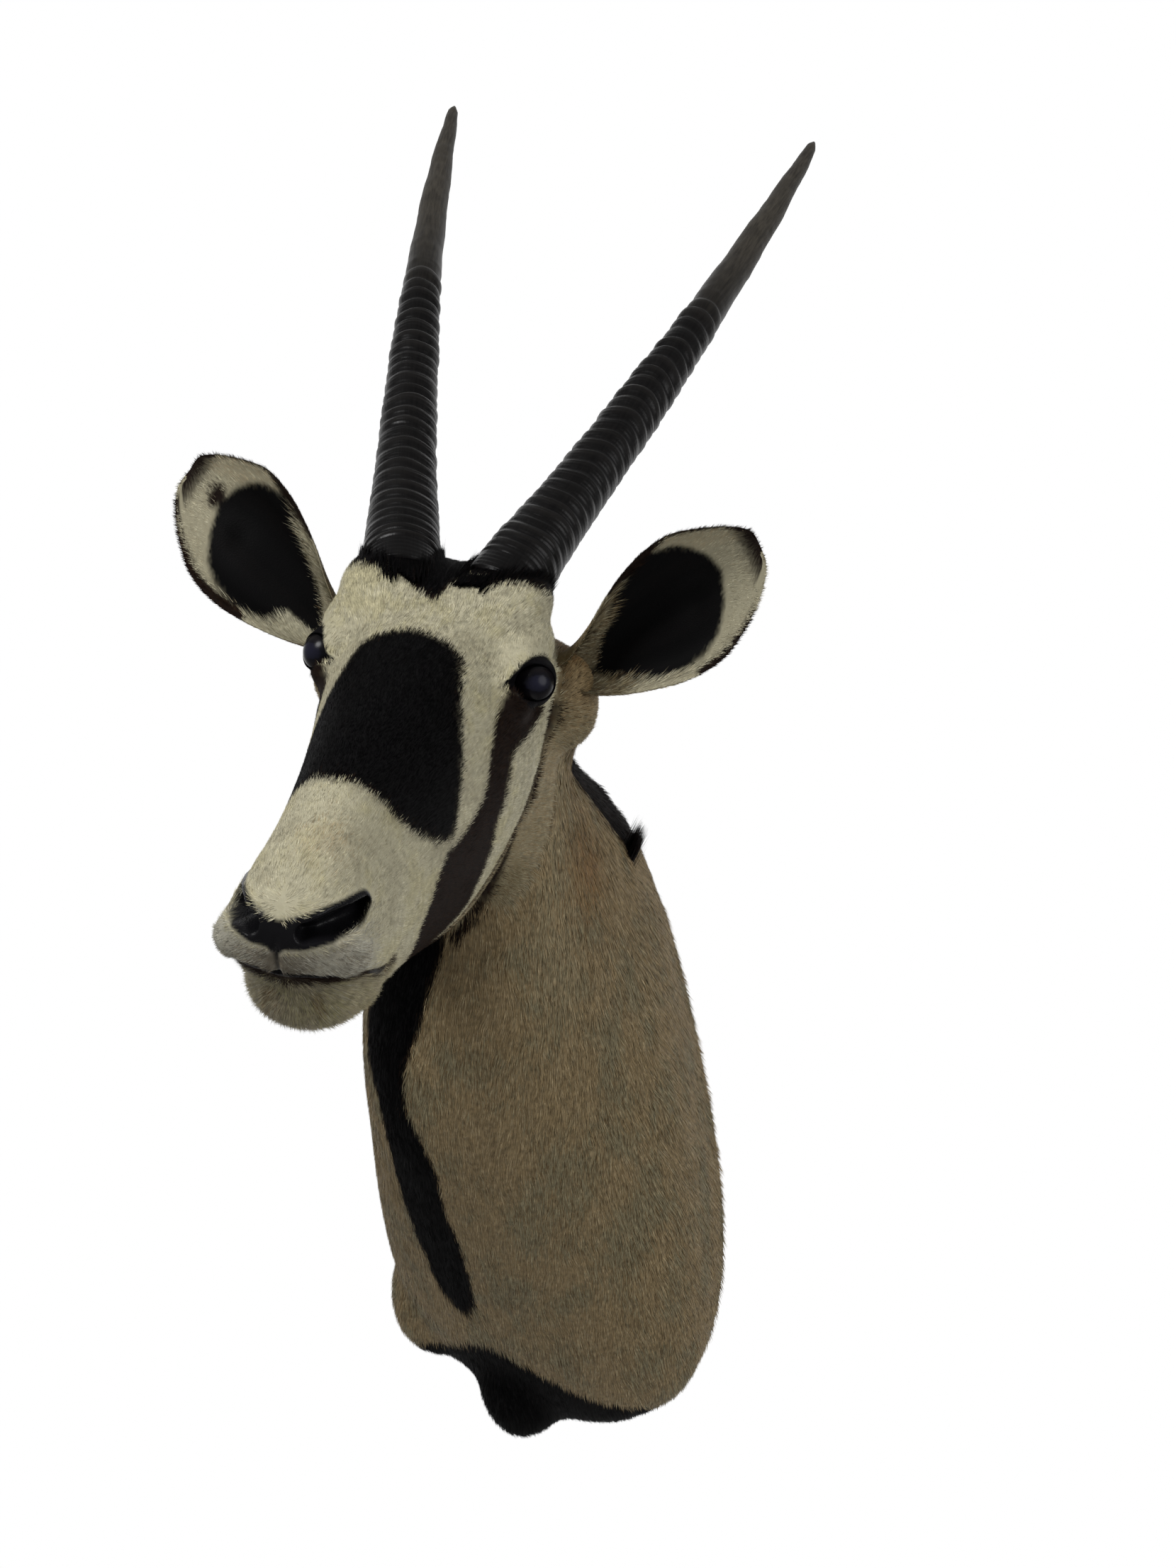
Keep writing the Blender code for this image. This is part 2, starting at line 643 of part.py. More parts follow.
def make_board_and_hanger():
    """The board let into the back of the cape, the keyhole plate in it and its two screws."""
    board = new_object("backboard", board_bmesh(BOARD_INSET, -BOARD_THICKNESS, 0.0), parts,
                       new_material("plywood", (0.55, 0.40, 0.24), 0.7))
    steel = new_material("zinc_steel", (0.62, 0.62, 0.60), 0.35, 1.0)
    front = -HANGER_RECESS - HANGER_THICKNESS
    plate = new_object("hanger_plate", plate_bmesh(0.0, front, -HANGER_RECESS), parts, steel)
    add_boolean(plate, keyhole_cutter(front), 'DIFFERENCE')
    recess = new_cutter("hanger_recess", plate_bmesh(GAP, front - GAP, OVERCUT))
    add_boolean(board, recess, 'DIFFERENCE')
    well = bmesh.new()
    add_cylinder(well, (0.0, front - KEYHOLE_WELL_DEPTH / 2, HANGER_HEIGHT),
                 KEYHOLE_WELL_RADIUS, KEYHOLE_WELL_DEPTH)
    add_boolean(board, new_cutter("keyhole_well", well), 'DIFFERENCE')
    for side, word in ((1, "left"), (-1, "right")):
        new_object(f"hanger_screw_{word}", screw_bmesh(side * HANGER_SCREW_OUT, 0.0), parts, steel)
        hole = new_cutter(f"screw_hole_{word}", screw_bmesh(side * HANGER_SCREW_OUT, GAP))
        add_boolean(board, hole, 'DIFFERENCE')
        add_boolean(plate, hole, 'DIFFERENCE')


# ---------------------------------------------------------------- build
for old in list(bpy.data.objects):
    bpy.data.objects.remove(old)

parts = new_collection("gemsbok_shoulder_mount")
cutters = new_collection("cutters")

make_hide()
horn_material = new_material("horn", (0.02, 0.017, 0.014), 0.45)
glass = new_material("eye_glass", (0.012, 0.012, 0.02), 0.08)
for side, word in ((1, "left"), (-1, "right")):
    make_horn(f"horn_{word}", side, horn_material)
    make_eye(f"eye_{word}", side, glass)
make_board_and_hanger()
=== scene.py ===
"""Gemsbok shoulder mount: hide on its form, ringed horns, glass eyes, mane and back board.

Metres, +Z up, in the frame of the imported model: the wall is the plane Y = 0 and the mount
stands out from it towards -Y, with its head turned to the animal's left (+X).
"""
import math

import bmesh
import bpy
import numpy as np
from mathutils import Matrix, Vector
from mathutils.bvhtree import BVHTree


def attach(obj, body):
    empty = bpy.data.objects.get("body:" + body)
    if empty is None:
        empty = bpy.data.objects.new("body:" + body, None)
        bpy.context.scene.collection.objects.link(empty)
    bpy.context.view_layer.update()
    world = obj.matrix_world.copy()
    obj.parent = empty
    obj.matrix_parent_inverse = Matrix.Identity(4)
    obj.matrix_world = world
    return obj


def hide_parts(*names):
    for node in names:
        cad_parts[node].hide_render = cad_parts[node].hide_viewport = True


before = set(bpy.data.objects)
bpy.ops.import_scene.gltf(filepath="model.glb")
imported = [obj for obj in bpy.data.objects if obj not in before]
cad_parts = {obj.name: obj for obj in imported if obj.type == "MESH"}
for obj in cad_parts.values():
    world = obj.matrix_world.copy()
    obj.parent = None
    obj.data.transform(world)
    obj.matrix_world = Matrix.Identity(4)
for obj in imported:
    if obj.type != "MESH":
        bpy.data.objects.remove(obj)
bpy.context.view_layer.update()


# ================================================================ the hide
# The tanned skin of the head, neck and shoulders, glued over a carved foam form. The form's
# ribs and muscle masses are fused into one skin, and the face is then modelled on it as a
# taxidermist does in clay: brows, nostrils, lips and the hollow that seats each eye.

# The head's own axes: left, up the face to the poll, and out of the face.
head_origin = np.array((0.095, -0.525, 0.424))
head_turn = math.radians(26.6)
face_slope = math.radians(42.6)
head_left = np.array((math.cos(head_turn), math.sin(head_turn), 0.0))
head_up = np.array((-math.sin(head_turn) * math.cos(face_slope),
                    math.cos(head_turn) * math.cos(face_slope), math.sin(face_slope)))
head_axes = np.array((head_left, head_up, np.cross(head_left, head_up)))
head_matrix = Matrix([list(row) for row in head_axes.T]).to_4x4()


def to_head(points):
    return (np.asarray(points) - head_origin) @ head_axes.T


def to_world(points):
    return np.asarray(points) @ head_axes + head_origin


# nose to poll: place, top, underside, half widths above, at mid height and below
head_ribs = (
    (-0.266, -0.034, -0.062, 0.012, 0.016, 0.012),
    (-0.261, -0.023, -0.074, 0.021, 0.028, 0.022),
    (-0.251, -0.014, -0.088, 0.029, 0.038, 0.030),
    (-0.236, -0.007, -0.108, 0.034, 0.045, 0.038),
    (-0.212, -0.002, -0.126, 0.032, 0.046, 0.042),
    (-0.180, 0.002, -0.146, 0.030, 0.047, 0.047),
    (-0.140, 0.005, -0.170, 0.035, 0.052, 0.054),
    (-0.100, 0.007, -0.195, 0.044, 0.059, 0.062),
    (-0.050, 0.006, -0.214, 0.058, 0.069, 0.069),
    (0.000, 0.004, -0.219, 0.070, 0.080, 0.067),
    (0.050, 0.004, -0.214, 0.071, 0.081, 0.064),
    (0.090, 0.002, -0.200, 0.066, 0.079, 0.061),
    (0.125, -0.012, -0.150, 0.046, 0.068, 0.056),
    (0.150, -0.040, -0.110, 0.024, 0.040, 0.034),
)
# wall to throat: nape (y, z), throat line (y, z), shift, half width, fullness, squareness
neck_ribs = (
    (0.030, 0.274, 0.030, -0.258, 0.000, 0.156, 0.60, 0.82),
    (-0.002, 0.274, -0.002, -0.258, 0.000, 0.156, 0.60, 0.82),
    (-0.040, 0.300, -0.075, -0.256, 0.000, 0.163, 0.56, 0.74),
    (-0.080, 0.328, -0.150, -0.198, 0.000, 0.162, 0.50, 0.76),
    (-0.120, 0.348, -0.215, -0.122, 0.002, 0.149, 0.42, 0.84),
    (-0.165, 0.362, -0.285, -0.035, 0.008, 0.126, 0.32, 0.95),
    (-0.215, 0.376, -0.345, 0.048, 0.016, 0.107, 0.22, 1.00),
    (-0.275, 0.394, -0.376, 0.130, 0.023, 0.094, 0.12, 1.00),
    (-0.335, 0.422, -0.386, 0.220, 0.027, 0.088, 0.00, 1.00),
    (-0.390, 0.446, -0.415, 0.310, 0.030, 0.084, 0.00, 1.00),
)
# muscle masses: centre, radii
chest_masses = (
    ((0.0, -0.078, -0.195), (0.055, 0.062, 0.092)),       # brisket
    ((0.110, -0.045, -0.148), (0.054, 0.062, 0.080)),     # top of the left leg
    ((-0.118, -0.072, -0.168), (0.058, 0.070, 0.080)),    # top of the right leg
)
skull_masses = (
    ((0.040, 0.074, -0.013), (0.042, 0.052, 0.028)),      # foot of the horn
    ((0.074, 0.092, -0.098), (0.041, 0.041, 0.041)),      # root of the ear
    ((0.089, 0.088, -0.112), (0.028, 0.030, 0.034)),      # skin drawn out under the ear
    ((0.050, 0.106, -0.142), (0.050, 0.054, 0.078)),      # behind the jaw
)
face_masses = (
    ((0.058, 0.048, -0.034), (0.028, 0.040, 0.027)),      # brow over the eye
    ((0.066, 0.020, -0.042), (0.0200, 0.032, 0.026)),     # lids
    ((0.022, -0.242, -0.050), (0.024, 0.018, 0.018)),     # upper lip
)
chin_mass = ((0.0, -0.221, -0.094), (0.041, 0.043, 0.032))
# crest of the nape: place along the neck, sideways shift, foot and top
crest_ribs = (
    (-0.352, 0.037, 0.400, 0.404), (-0.335, 0.034, 0.400, 0.430), (-0.275, 0.021, 0.376, 0.409),
    (-0.215, 0.012, 0.356, 0.396), (-0.165, 0.006, 0.342, 0.383), (-0.116, 0.002, 0.328, 0.369),
    (-0.070, 0.000, 0.304, 0.347), (-0.042, 0.000, 0.284, 0.328), (-0.022, 0.000, 0.268, 0.310),
    (-0.008, 0.000, 0.258, 0.290))
crest_half, crest_sunk = 0.019, 0.006


def full_turn(steps):
    """Angles at even steps, once round."""
    return 2 * np.pi * np.arange(steps) / steps


ring_turns = full_turn(48)


def finer(rows, steps):
    """More rows between the given ones, on a smooth curve through each column."""
    table = np.array(rows, dtype=float)
    padded = np.vstack((2 * table[0] - table[1], table, 2 * table[-1] - table[-2]))
    result = []
    for i in range(len(table) - 1):
        before, start, end, after = padded[i:i + 4]
        for t in np.arange(steps) / steps:
            result.append(0.5 * (2 * start + (end - before) * t
                                 + (2 * before - 5 * start + 4 * end - after) * t ** 2
                                 + (3 * start - before - 3 * end + after) * t ** 3))
    result.append(table[-1])
    return result


def head_ring(rib):
    place, top, bottom, above, middle, below = rib
    sine, cosine = np.sin(ring_turns), np.cos(ring_turns)
    level = (1 + sine) / 2
    half = (below * (1 - level) * (1 - 2 * level) + middle * 4 * level * (1 - level)
            + above * level * (2 * level - 1))
    across = np.sign(cosine) * np.abs(cosine) ** np.where(sine > 0, 0.72, 0.50)
    height = bottom + (top - bottom) * level
    return to_world(np.column_stack((half * across, np.full(len(level), place), height)))


def neck_ring(rib):
    nape_y, nape_z, throat_y, throat_z, shift, half, fullness, squareness = rib
    peak = 0.0
    if fullness:
        peak = (1 - math.sqrt(1 + 8 * fullness ** 2)) / (4 * fullness)
    widest = math.sqrt(1 - peak ** 2) * (1 - fullness * peak)
    level, cosine = np.sin(ring_turns), np.cos(ring_turns)
    outward = np.sign(cosine) * np.abs(cosine) ** squareness
    share = (1 + level) / 2
    return np.column_stack((shift + half * outward * (1 - fullness * level) / widest,
                            throat_y + (nape_y - throat_y) * share,
                            throat_z + (nape_z - throat_z) * share))


def crest_ring(rib):
    y, shift, foot, top = rib
    return [(shift + crest_half * math.cos(turn), y,
             foot - crest_sunk + (top - foot - crest_sunk) * math.sin(turn))
            for turn in ring_turns]


def add_loft(bm, rings, closed_ends=True):
    rows = [[bm.verts.new(point) for point in ring] for ring in rings]
    for row, next_row in zip(rows, rows[1:]):
        for i in range(len(row)):
            j = (i + 1) % len(row)
            bm.faces.new((row[i], row[j], next_row[j], next_row[i]))
    if closed_ends:
        bm.faces.new(rows[0])
        bm.faces.new(rows[-1])


def add_mass(bm, centre, radii, on_head=False):
    place = Matrix.Translation(centre) @ Matrix.Diagonal((*radii, 1.0))
    if on_head:
        place = Matrix.Translation(head_origin) @ head_matrix @ place
    bmesh.ops.create_uvsphere(bm, u_segments=32, v_segments=20, radius=1.0, matrix=place)


def new_piece(name, bm):
    bmesh.ops.recalc_face_normals(bm, faces=bm.faces)
    mesh = bpy.data.meshes.new(name)
    bm.to_mesh(mesh)
    bm.free()
    piece = bpy.data.objects.new(name, mesh)
    bpy.context.scene.collection.objects.link(piece)
    return piece


def apply_modifiers(piece):
    depsgraph = bpy.context.evaluated_depsgraph_get()
    mesh = bpy.data.meshes.new_from_object(piece.evaluated_get(depsgraph))
    old = piece.data
    piece.modifiers.clear()
    piece.data = mesh
    bpy.data.meshes.remove(old)


def fuse(piece, voxel, rounds):
    """One closed skin from overlapping ones, softened over the given rounds."""
    remesh = piece.modifiers.new("fuse", 'REMESH')
    remesh.mode = 'VOXEL'
    remesh.voxel_size = voxel
    smooth = piece.modifiers.new("blend", 'SMOOTH')
    smooth.factor = 0.5
    smooth.iterations = rounds
    apply_modifiers(piece)


bm = bmesh.new()
add_loft(bm, [head_ring(rib) for rib in finer(head_ribs, 4)])
add_loft(bm, [neck_ring(rib) for rib in finer(neck_ribs, 4)])
for centre, radii in chest_masses:
    add_mass(bm, centre, radii)
for side in (1, -1):
    for (left, up, out), radii in skull_masses:
        add_mass(bm, (side * left, up, out), radii, on_head=True)
hide = new_piece("hide", bm)
fuse(hide, voxel=0.0050, rounds=34)
bm = bmesh.new()
bm.from_mesh(hide.data)
for side in (1, -1):
    for (left, up, out), radii in face_masses:
        add_mass(bm, (side * left, up, out), radii, on_head=True)
add_mass(bm, *chin_mass, on_head=True)
add_loft(bm, [crest_ring(rib) for rib in finer(crest_ribs, 3)])
bmesh.ops.recalc_face_normals(bm, faces=bm.faces)
bm.to_mesh(hide.data)
bm.free()
fuse(hide, voxel=0.0043, rounds=4)


def read_points(mesh):
    flat = np.empty(len(mesh.vertices) * 3)
    mesh.vertices.foreach_get("co", flat)
    return flat.reshape(-1, 3)


def read_normals(mesh):
    flat = np.empty(len(mesh.vertices) * 3, dtype=np.float32)
    mesh.vertex_normals.foreach_get("vector", flat)
    return flat.reshape(-1, 3).astype(float)


def write_points(mesh, points):
    mesh.vertices.foreach_set("co", points.ravel())
    mesh.update()


def add_values(mesh, name, kind, values):
    """Numbers on the points of a mesh, for its material to read."""
    field = {'FLOAT': "value", 'FLOAT_VECTOR': "vector"}[kind]
    attribute = mesh.attributes.new(name, kind, 'POINT')
    attribute.data.foreach_set(field, np.asarray(values, dtype=np.float32).ravel())


both_sides = ((1, "left"), (-1, "right"))


def mirrored(heads):
    """Places on the head, with its right side laid over the left."""
    return np.column_stack((np.abs(heads[:, 0]), heads[:, 1:]))


def ease(share):
    """From 0 to 1 with a soft start and end."""
    share = np.clip(share, 0.0, 1.0)
    return share * share * (3 - 2 * share)


def bell(offset, width):
    """1 at no offset, fading to nothing at about twice the width."""
    return np.exp(-(offset / width) ** 2)


def unit(vectors):
    """The same directions, each one long."""
    return vectors / np.maximum(np.linalg.norm(vectors, axis=-1, keepdims=True), 1e-9)


def along_path(points, path):
    """Distance of each point from a path, and how far along the path its nearest place is."""
    path = np.array(path, dtype=float)
    best = np.full(len(points), 9.0)
    where = np.zeros(len(points))
    for i, (start, end) in enumerate(zip(path, path[1:])):
        run = end - start
        share = np.clip((points - start) @ run / (run @ run), 0, 1)
        distance = np.linalg.norm(points - start - share[:, None] * run, axis=1)
        nearer = distance < best
        best[nearer] = distance[nearer]
        where[nearer] = (i + share[nearer]) / (len(path) - 1)
    return best, where


nostril_path = ((0.0145, -0.2550, -0.0272), (0.0255, -0.2460, -0.0290),
                (0.0345, -0.2335, -0.0314), (0.0370, -0.2200, -0.0325))
nostril_widths = (0.0052, 0.0072, 0.0066, 0.0030)
mouth_path = ((0.0, -0.2650, -0.0540), (0.013, -0.2640, -0.0530), (0.026, -0.2587, -0.0558),
              (0.037, -0.2487, -0.0630), (0.041, -0.2290, -0.0800), (0.0425, -0.2190, -0.0880))
philtrum_path = ((0.0, -0.2600, -0.0300), (0.0, -0.2640, -0.0380), (0.0, -0.2655, -0.0530))
eye_centre = np.array((0.0755, 0.0215, -0.0425))
eye_radius = 0.0160
eye_gaze = unit(np.array((0.45, -0.72, 0.52)))
eye_corner = np.array((0.0566, -0.0083, -0.0286))
toward_corner = eye_corner - eye_centre
toward_corner = unit(toward_corner - (toward_corner @ eye_gaze) * eye_gaze)
lid_upward = np.cross(eye_gaze, toward_corner)
lid_upward = lid_upward * np.sign(lid_upward[2])
# outer edge of the bare lids: degrees round from the inner corner over the top, and reach
lid_turns = (0, 10, 34, 67, 97, 117, 141, 162, 187, 214, 243, 266, 291, 320, 345, 355, 360)
lid_reaches = (0.0300, 0.0222, 0.0178, 0.0168, 0.0182, 0.0200, 0.0212, 0.0203, 0.0187, 0.0181,
               0.0185, 0.0177, 0.0166, 0.0160, 0.0182, 0.0236, 0.0300)


def lid_place(near):
    """Degrees round the eye, distance from its axis and height along the axis."""
    spoke = near - eye_centre
    forward, upward = spoke @ toward_corner, spoke @ lid_upward
    turn = np.degrees(np.arctan2(upward, forward)) % 360
    return turn, np.hypot(forward, upward), spoke @ eye_gaze


def lid_inner(turn):
    """Distance from the axis at which the lids meet the glass."""
    return 0.0147 - 0.0018 * np.sin(np.radians(turn)) ** 2


def lid_outer(turn):
    """Distance from the axis at which the lids end and the hair begins."""
    return np.interp(turn, lid_turns, lid_reaches)


def lip_level(heads):
    """How far out of the face the line between the lips lies."""
    left, _, out = zip(*mouth_path)
    return np.interp(np.abs(heads[:, 0]), left, out)


# Where things lie is told by the distance up the face and the angle round the head: 0 degrees
# at the middle of the face, 90 on the cheek, 180 under the jaw.
def around_head(heads):
    middle = np.interp(heads[:, 1], (-0.266, -0.20, -0.10, 0.0, 0.10),
                       (-0.048, -0.065, -0.095, -0.107, -0.100))
    return np.degrees(np.arctan2(np.abs(heads[:, 0]), heads[:, 2] - middle))


cheek_back_angles = (58, 66, 70, 78, 89, 101, 108, 119, 135, 145, 150)
cheek_back_places = (0.105, 0.076, 0.066, 0.055, 0.048, 0.040, 0.028, 0.007, -0.041, -0.093,
                     -0.130)


def behind_cheek(near):
    """How far each place lies behind the edge of the cheek and jaw, along the head."""
    angle = around_head(near)
    slope = np.where(angle > 104, 0.6, 1.0)
    return (near[:, 1] - np.interp(angle, cheek_back_angles, cheek_back_places)) * slope


soft_edge = 0.0018                # bare skin gives way to hair over this much


def eye_rim(heads):
    """Bare black skin round the eye, drawn out to the inner corner."""
    turn, reach, height = lid_place(mirrored(heads))
    inward = lid_outer(turn) + 0.0004 - reach
    return np.clip(inward / soft_edge + 0.5, 0, 1) * (height > -0.012)


def bare_nose(heads):
    """Wet black skin: the pad between the nostrils, the nostrils and the philtrum."""
    near = mirrored(heads)
    distance, where = along_path(near, ((0.0, -0.2600, -0.0275), (0.011, -0.2570, -0.0265),
                                        (0.023, -0.2480, -0.0270), (0.0335, -0.2335, -0.0290),
                                        (0.0370, -0.2190, -0.0305)))
    widths = np.interp(where, (0, 0.25, 0.5, 0.8, 1.0), (0.0080, 0.0092, 0.0100, 0.0090, 0.0060))
    inward = widths - distance
    distance, where = along_path(near, philtrum_path)
    widths = np.interp(where, (0, 0.3, 0.5, 1.0), (0.0050, 0.0048, 0.0014, 0.0004))
    inward = np.maximum(inward, widths - distance)
    distance, where = along_path(near, mouth_path)
    widths = np.where(near[:, 2] < lip_level(near), 0.0052, 0.0014) * (1 - 0.45 * where)
    inward = np.maximum(inward, widths - distance)
    return np.clip(inward / soft_edge + 0.5, 0, 1)


# finer faces where the eyes, nostrils and lips are modelled
bm = bmesh.new()
bm.from_mesh(hide.data)
bm.verts.ensure_lookup_table()
heads = to_head(read_points(hide.data))
near = mirrored(heads)
fine = (bare_nose(heads) > 0) | (along_path(near, mouth_path)[0] < 0.010)
fine |= along_path(near, nostril_path)[0] < 0.020
fine |= np.linalg.norm(near - eye_centre, axis=1) < 0.034
edges = [edge for edge in bm.edges
         if fine[edge.verts[0].index] and fine[edge.verts[1].index]]
bmesh.ops.subdivide_edges(bm, edges=edges, cuts=2, use_grid_fill=True, smooth=0.0)
bmesh.ops.triangulate(bm, faces=[face for face in bm.faces if len(face.verts) > 4])
bm.to_mesh(hide.data)
bm.free()

# the skin lies under the tips of the hair: a little on the face, more on the neck
points = read_points(hide.data)
normals = read_normals(hide.data)
heads = to_head(points)


def head_floor(up):
    """Lowest place of the head, out of the face, before the neck begins."""
    return np.interp(up, (-0.27, -0.20, -0.10, -0.02, 0.03, 0.07, 0.11, 0.15),
                     (-0.115, -0.150, -0.205, -0.225, -0.175, -0.135, -0.110, -0.090))


def head_share(heads):
    """1 on the head, 0 on the neck, with 2 cm between."""
    inside = ease((heads[:, 2] - head_floor(heads[:, 1])) / 0.02 + 0.5)
    return inside * ease((0.17 - heads[:, 1]) / 0.02) * ease((0.13 - np.abs(heads[:, 0])) / 0.02)


face = head_share(heads)
depth = 0.0030 - 0.0018 * face
depth *= 1 - 0.9 * face * ease((-0.235 - heads[:, 1]) / 0.02)
points = points - normals * depth[:, None]
heads = to_head(points)
head_normals = normals @ head_axes.T

nose_skin = bare_nose(heads)
bare = np.maximum(nose_skin, eye_rim(heads))
hide_tree = BVHTree.FromPolygons([Vector(point) for point in to_world(heads)],
                                 [tuple(face.vertices) for face in hide.data.polygons])
lid_steps = 96
ray_start, lowest_skin = 0.040, -0.003        # along the gaze, from the middle of the eye
lid_turn_steps = 360.0 * np.arange(lid_steps) / lid_steps
lid_outer_steps = lid_outer(lid_turn_steps)
lid_skin_heights = {}
for side in (1, -1):
    flip = np.array((side, 1, 1))
    lid_skin_heights[side] = []
    for turn, reach in zip(np.radians(lid_turn_steps), lid_outer_steps):
        spoke = (toward_corner * math.cos(turn) + lid_upward * math.sin(turn)) * reach
        start = (eye_centre + spoke + eye_gaze * ray_start) * flip
        hit = hide_tree.ray_cast(Vector(to_world(start)), Vector((-eye_gaze * flip) @ head_axes))
        skin = ray_start - hit[3] if hit[3] else lowest_skin
        lid_skin_heights[side].append(max(skin, lowest_skin))
crease_depth, nostril_depth, nostril_rim, mouth_depth = 0.0030, 0.017, 0.0010, 0.0062
for side in (1, -1):
    flip = np.array((side, 1, 1))
    near = heads * flip
    # a crease where the edge of the cheek and jaw stands clear of the neck and the ear
    crease = bell(behind_cheek(near), 0.0035) * ease((near[:, 1] + 0.13) / 0.03)
    crease *= ease((0.095 - near[:, 1]) / 0.02) * (near[:, 0] > 0.02) * (near[:, 2] > -0.19)
    heads -= head_normals * (crease * crease_depth)[:, None]
    # nostril: a deep comma-shaped hollow with a rounded rim
    distance, where = along_path(near, nostril_path)
    width = np.interp(where, np.linspace(0, 1, 4), nostril_widths)
    hollow = ease(1.25 - distance / width) * nostril_depth
    rim = bell(distance - width * 1.35, 0.0025) * nostril_rim
    inward = np.array((-0.40, 0.72, -0.50)) * flip
    heads += hollow[:, None] * inward + rim[:, None] * head_normals
    # mouth: a groove from the middle of the lips to the corner, lower lip set back
    distance, where = along_path(near, mouth_path)
    groove = bell(distance, 0.0022) * mouth_depth * (1 - 0.5 * where)
    heads[:, 1] += groove * (near[:, 0] > -0.001)
    # hollow for the eye: the skin is sunk under the glass and raised round its edge
    near = heads * flip
    turn, reach, height = lid_place(near)
    outer = lid_outer(turn)
    inner = lid_inner(turn)
    at_skin = np.interp(turn, lid_turn_steps, lid_skin_heights[side], period=360)
    at_glass = np.sqrt(eye_radius ** 2 - inner ** 2)
    share = np.clip((reach - inner) / (outer - inner), 0, 1)
    wanted = at_glass + (at_skin - at_glass) * share - 0.0016
    wanted = np.where(reach < inner, at_glass - 0.004, wanted)
    within = (reach < outer) & (height > -0.012)
    change = np.where(within, np.minimum(wanted - height, 0) * ease((outer - reach) / 0.0015), 0)
    heads = heads + change[:, None] * eye_gaze * flip
under_lip = ease((lip_level(heads) - heads[:, 2]) / 0.006)
under_lip *= ease((-heads[:, 1] - 0.225) / 0.02) * ease((0.045 - np.abs(heads[:, 0])) / 0.01)
heads[:, 1] += 0.0050 * under_lip
distance, where = along_path(heads, philtrum_path)
heads[:, 1] += bell(distance, 0.0020) * 0.0024
write_points(hide.data, to_world(heads))
add_values(hide.data, "bare", 'FLOAT', bare)
add_values(hide.data, "wet", 'FLOAT', nose_skin)

# cut the form off flat at the wall
hide_back = -0.002
bm = bmesh.new()
bm.from_mesh(hide.data)
bmesh.ops.bisect_plane(bm, geom=bm.verts[:] + bm.edges[:] + bm.faces[:], dist=0.00001,
                       plane_co=(0, hide_back, 0), plane_no=(0, 1, 0), clear_outer=True)
bm.to_mesh(hide.data)
bm.free()
hide.data.shade_smooth()


# ---------------------------------------------------------------- the markings of the coat
def inside(outline, xs, ys):
    """Whether each place lies within a closed outline."""
    result = np.zeros(len(xs), dtype=bool)
    for (x1, y1), (x2, y2) in zip(outline, outline[1:] + outline[:1]):
        crosses = (y1 > ys) != (y2 > ys)
        result ^= crosses & (xs < (x2 - x1) * (ys - y1) / ((y2 - y1) or 1e-9) + x1)
    return result


blaze_places = (-0.164, -0.161, -0.159, -0.156, -0.147, -0.131, -0.120, -0.110, -0.093,
                -0.075, -0.062, -0.045, -0.026, -0.014, -0.008, -0.002)
blaze_angles = (0, 10, 22, 36, 52, 70, 75, 74, 58, 44, 34, 27, 22, 20, 13, 0)
cheek_stripe = [(-0.008, 41), (-0.029, 46), (-0.046, 56), (-0.057, 66), (-0.069, 75),
                (-0.093, 79), (-0.122, 82), (-0.139, 94), (-0.152, 109), (-0.166, 122),
                (-0.172, 140), (-0.176, 181), (-0.128, 181), (-0.130, 148), (-0.090, 138),
                (-0.076, 127), (-0.061, 117), (-0.054, 102), (-0.040, 92), (-0.031, 80),
                (-0.021, 69), (-0.008, 68), (0.014, 71), (0.030, 74), (0.046, 76),
                (0.040, 66), (0.020, 58), (0.000, 46)]
throat_heights = (-0.140, -0.123, -0.101, -0.061, -0.025, 0.012, 0.044, 0.071, 0.105, 0.138,
                  0.169, 0.200, 0.240)
throat_left = (-0.002, 0.012, 0.019, 0.023, 0.022, 0.027, 0.022, 0.010, 0.016, 0.031,
               0.038, 0.045, 0.050)
throat_right = (-0.012, -0.029, -0.032, -0.034, -0.036, -0.030, -0.028, -0.031, -0.045, -0.040,
                -0.030, -0.010, 0.000)
chest_patch_across = (-0.15, -0.094, -0.048, -0.017, 0.011, 0.030, 0.066, 0.092, 0.129, 0.165)
chest_patch_top = (-0.236, -0.216, -0.194, -0.177, -0.170, -0.173, -0.184, -0.196, -0.208, -0.240)
horn_foot = np.array((0.0405, 0.097, -0.008))
horn_leaves = np.array((0.268, 0.932, 0.245))       # the way a horn leaves the skull


def black_marks(heads, worlds, on_head):
    """Blaze, cap round the horns, cheek stripes, throat stripe and chest patch."""
    left, up = heads[:, 0], heads[:, 1]
    angle = around_head(heads)
    marked = angle < np.interp(up, blaze_places, blaze_angles, left=-1, right=-1)
    cap_edge = np.interp(left, (-0.036, -0.024, -0.012, 0.0, 0.004, 0.008, 0.018, 0.032),
                         (0.058, 0.051, 0.044, 0.033, 0.040, 0.058, 0.073, 0.078))
    marked |= (up > cap_edge) & (np.abs(left) < np.interp(up, (0.05, 0.08, 0.10, 0.13, 0.16),
                                                          (0.058, 0.060, 0.063, 0.050, 0.030)))
    for side in (1, -1):
        foot = heads * (side, 1, 1) - horn_foot
        along_horn = foot @ horn_leaves
        off_horn = np.linalg.norm(foot - along_horn[:, None] * horn_leaves, axis=1)
        marked |= (off_horn < 0.0395) & (along_horn < 0.05) & (along_horn > -0.020)
        marked |= (off_horn < 0.0340) & (along_horn < 0.0) & (along_horn > -0.031)
    marked &= on_head
    x, y, z = worlds.T
    stripe = (x < np.interp(z, throat_heights, throat_left, left=-9))
    stripe &= (x > np.interp(z, throat_heights, throat_right, left=9)) & (y < -0.15) & ~on_head
    stripe &= (z < 0.24)
    patch = (z < np.interp(x, chest_patch_across, chest_patch_top)) & ~on_head
    return marked | stripe | patch


